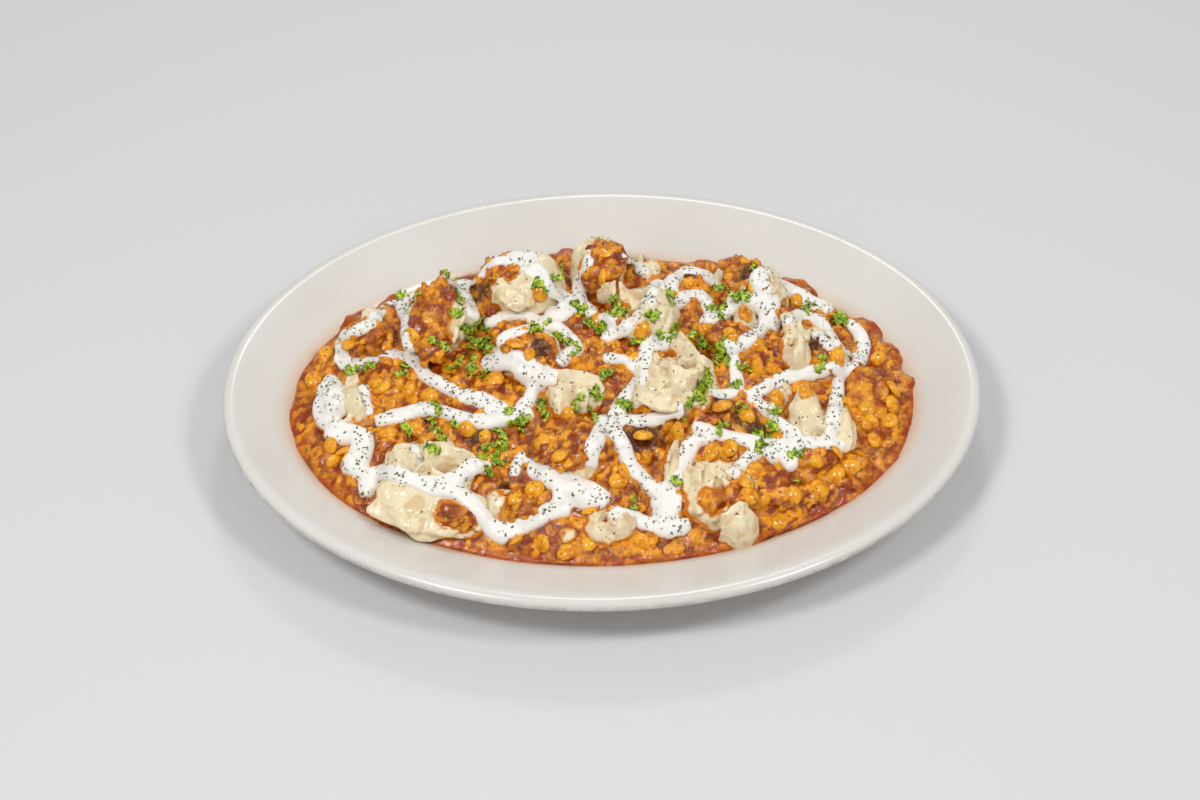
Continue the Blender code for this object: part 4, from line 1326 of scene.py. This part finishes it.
# Dried mint
# Leaves dried and rubbed between the fingers over the yogurt: flat dark flakes of half a
# millimetre to two, closest together on the yogurt.
MINT_FLAKES = 3000
MINT_SIZES = (0.3, 0.95)
MINT_THICKNESS = 0.22
MINT_REACH = (134, 86)
MINT_ON_FOOD = 0.3  # as likely as on the yogurt
MINT_PATCH = 14
MINT_DARK = "#45452A"
MINT_PALE = "#938A58"
dried_mint, tree, shader = new_material("dried_mint")
place = add_node(tree, "ShaderNodeTexCoord").outputs["Object"]
tones = add_node(
    tree, "ShaderNodeTexNoise", {"Vector": place}, {"Scale": 1 / (2 * MM), "Detail": 1.0}
)
coloured = add_node(
    tree,
    "ShaderNodeMix",
    {"Factor": tones.outputs["Fac"]},
    {6: linear(MINT_DARK), 7: linear(MINT_PALE)},
    data_type="RGBA",
)
tree.links.new(coloured.outputs[2], shader.inputs["Base Color"])
shader.inputs["Roughness"].default_value = 0.7

draw = random.Random(3)
everything = tree_of(stew, peas, yogurt, *pouches)
on_yogurt = tree_of(yogurt)


def mint_flake(draw):
    """A flat crumb of leaf with five corners."""
    bm = bmesh.new()
    size = draw.uniform(*MINT_SIZES)
    bmesh.ops.create_cone(
        bm, cap_ends=True, segments=5, radius1=size, radius2=0.8 * size, depth=MINT_THICKNESS
    )
    bmesh.ops.scale(bm, vec=(1, draw.uniform(0.25, 0.7), 1), verts=bm.verts)
    return shape_of(bm)


copies = []
while len(copies) < MINT_FLAKES:
    hit, normal = drop(everything, MINT_REACH, draw)
    if not hit or normal.z < 0.2:
        continue
    patchy = 0.5 + noise.noise(hit / (MINT_PATCH * MM))
    wanted = 1.0 if on_yogurt.find_nearest(hit)[3] < TOUCHING * MM else MINT_ON_FOOD
    if draw.random() > wanted * patchy:
        continue
    lying = Matrix.Translation(hit / MM + 0.1 * normal) @ upright_to(normal, 0.5, draw)
    copies.append((mint_flake(draw), lying))
mint = scatter("dried_mint", copies, dried_mint)
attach(mint, "root")

# Parsley
# Fresh curly parsley, chopped small and dropped on last: frilled shreds of leaf, 4 to 8 mm long,
# in loose pinches.
PARSLEY_DARK = "#2C5C02"
PARSLEY_LIGHT = "#D2E83C"
SHRED_HALF_LENGTHS = (1.8, 3.8)
SHRED_HALF_WIDTHS = (1.1, 2.2)
SHRED_THICKNESS = 0.3
SHRED_LIFT = 0.8
HERB_MARGIN = 3
SHREDS_LEFT = 0.7  # of each pinch, the rest having fallen between the food
PARSLEY_PINCHES = (  # x, y, shreds
    (-57, 27, 14), (-52, 18, 9), (-62, 52, 3), (-62, 40, 3), (-71, 22, 4), (-64, 8, 4), (-55, 0, 8),
    (-111, 13, 2), (-100, 11, 2), (-88, 6, 2), (-86, 63, 2), (-66, 80, 2), (-83, 76, 2),
    (-26, 57, 4), (-18, 63, 3), (-28, 28, 6), (-19, 18, 4), (-12, 13, 3), (-8, 38, 3),
    (-72, -18, 4), (-70, -27, 3), (-82, -27, 2), (-64, -25, 2), (-73, -36, 2), (-40, -30, 14),
    (-46, -41, 9), (-44, -48, 3), (-26, -22, 3), (-7, -18, 10), (-3, 25, 4), (7, 35, 8), (0, 25, 3),
    (14, 18, 2), (28, 18, 2), (21, 30, 2), (28, 47, 2), (48, 14, 10), (43, 18, 3), (51, 7, 6),
    (56, 38, 3), (51, 32, 2), (62, 47, 3), (57, 53, 2), (72, 80, 1), (95, 42, 4), (107, 40, 9),
    (105, 35, 4), (61, 0, 3), (48, -4, 8), (43, -10, 3), (57, -10, 2), (2, 0, 2), (9, -20, 3),
    (37, -18, 7), (60, -24, 2), (75, -24, 3), (51, -32, 2), (63, -36, 3), (72, -34, 5), (67, -42, 3),
    (83, -44, 2), (14, -66, 2), (29, -58, 1), (95, 6, 2), (80, -55, 1), (33, 25, 2),
)
fresh_parsley, tree, shader = new_material("fresh_parsley")
place = add_node(tree, "ShaderNodeTexCoord").outputs["Object"]
tones = add_node(
    tree,
    "ShaderNodeTexNoise",
    {"Vector": place},
    {"Scale": 1 / (2 * MM), "Detail": 2.0, "Roughness": 0.8},
)
contrast = add_node(
    tree, "ShaderNodeMapRange", {"Value": tones.outputs["Fac"]}, {"From Min": 0.38, "From Max": 0.66}
)
coloured = add_node(
    tree,
    "ShaderNodeMix",
    {"Factor": contrast.outputs["Result"]},
    {6: linear(PARSLEY_DARK), 7: linear(PARSLEY_LIGHT)},
    data_type="RGBA",
)
tree.links.new(coloured.outputs[2], shader.inputs["Base Color"])
shader.inputs["Roughness"].default_value = 0.45


def parsley_shred(draw):
    """A frilled strip of leaf, curved along its length."""
    bm = bmesh.new()
    bmesh.ops.create_grid(bm, x_segments=5, y_segments=3, size=1.0)
    length, width = draw.uniform(*SHRED_HALF_LENGTHS), draw.uniform(*SHRED_HALF_WIDTHS)
    bend, phase = draw.uniform(-0.35, 0.35), draw.uniform(0, 6)
    for vert in bm.verts:
        u, v = vert.co.x, vert.co.y
        leaf_width = width * (0.55 + 0.45 * math.cos(1.4 * u)) * (1 + 0.5 * math.sin(9 * u + phase))
        frill = 0.7 * math.sin(6 * u + phase) * abs(v)
        vert.co = (length * u, leaf_width * v, bend * length * u * u + frill)
    bmesh.ops.solidify(bm, geom=bm.faces[:], thickness=SHRED_THICKNESS)
    return shape_of(bm)


draw = random.Random(21)
copies = []
for x, y, shreds in PARSLEY_PINCHES:
    spread = 1.3 * math.sqrt(shreds)
    for _ in range(math.ceil(SHREDS_LEFT * shreds)):
        beside = draw.gauss(0, spread), draw.gauss(0, spread)
        point, normal = place_seen(everything, x + beside[0], y + beside[1], HERB_MARGIN)
        lying = Matrix.Translation(point + SHRED_LIFT * normal) @ upright_to(normal, 0.8, draw)
        copies.append((parsley_shred(draw), lying))
parsley = scatter("parsley", copies, fresh_parsley)
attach(parsley, "root")

# Settling
# The heap sinks a little under its own weight, most where it stands highest. What lies on a piece
# goes down with it.
SETTLED_ABOVE = 45.5
SETTLED_ROOM = 5.5
for piece in (*pouches, stew, peas, yogurt, mint, parsley):
    for vert in piece.data.vertices:
        over = vert.co.z / MM - SETTLED_ABOVE
        if over > 0:
            vert.co.z = (SETTLED_ABOVE + SETTLED_ROOM * (1 - math.exp(-over / SETTLED_ROOM))) * MM

# Floor and light
# A plain pale surface under two soft lights above the front and a weaker one behind, as in a small
# food studio.
FLOOR_REACH = 4000
FLOOR_GREY = "#D8D8D9"
ROOM_LIGHT = 0.45
bm = bmesh.new()
bmesh.ops.create_grid(bm, x_segments=1, y_segments=1, size=FLOOR_REACH)
pale_floor, tree, shader = new_material("pale_floor")
shader.inputs["Base Color"].default_value = linear(FLOOR_GREY)
shader.inputs["Roughness"].default_value = 0.8
floor = new_piece("floor", bm, pale_floor)

world = bpy.data.worlds.new("studio")
world.use_nodes = True
world.node_tree.nodes["Background"].inputs["Color"].default_value = linear("#FFFFFF")
world.node_tree.nodes["Background"].inputs["Strength"].default_value = ROOM_LIGHT
bpy.context.scene.world = world
SOFTBOXES = (  # place, size, watts
    ((-420, -420, 1050), 200, 5.0),
    ((520, -350, 1050), 200, 3.6),
    ((60, 620, 950), 200, 1.6),
)
for number, (spot, size, power) in enumerate(SOFTBOXES):
    light = bpy.data.lights.new(f"softbox_{number}", "AREA")
    light.size = size * MM
    light.energy = power
    lamp = bpy.data.objects.new(light.name, light)
    lamp.location = Vector(spot) * MM
    lamp.rotation_euler = (-Vector(spot)).to_track_quat("-Z", "Y").to_euler()
    bpy.context.scene.collection.objects.link(lamp)
bpy.context.scene.view_settings.view_transform = "Standard"
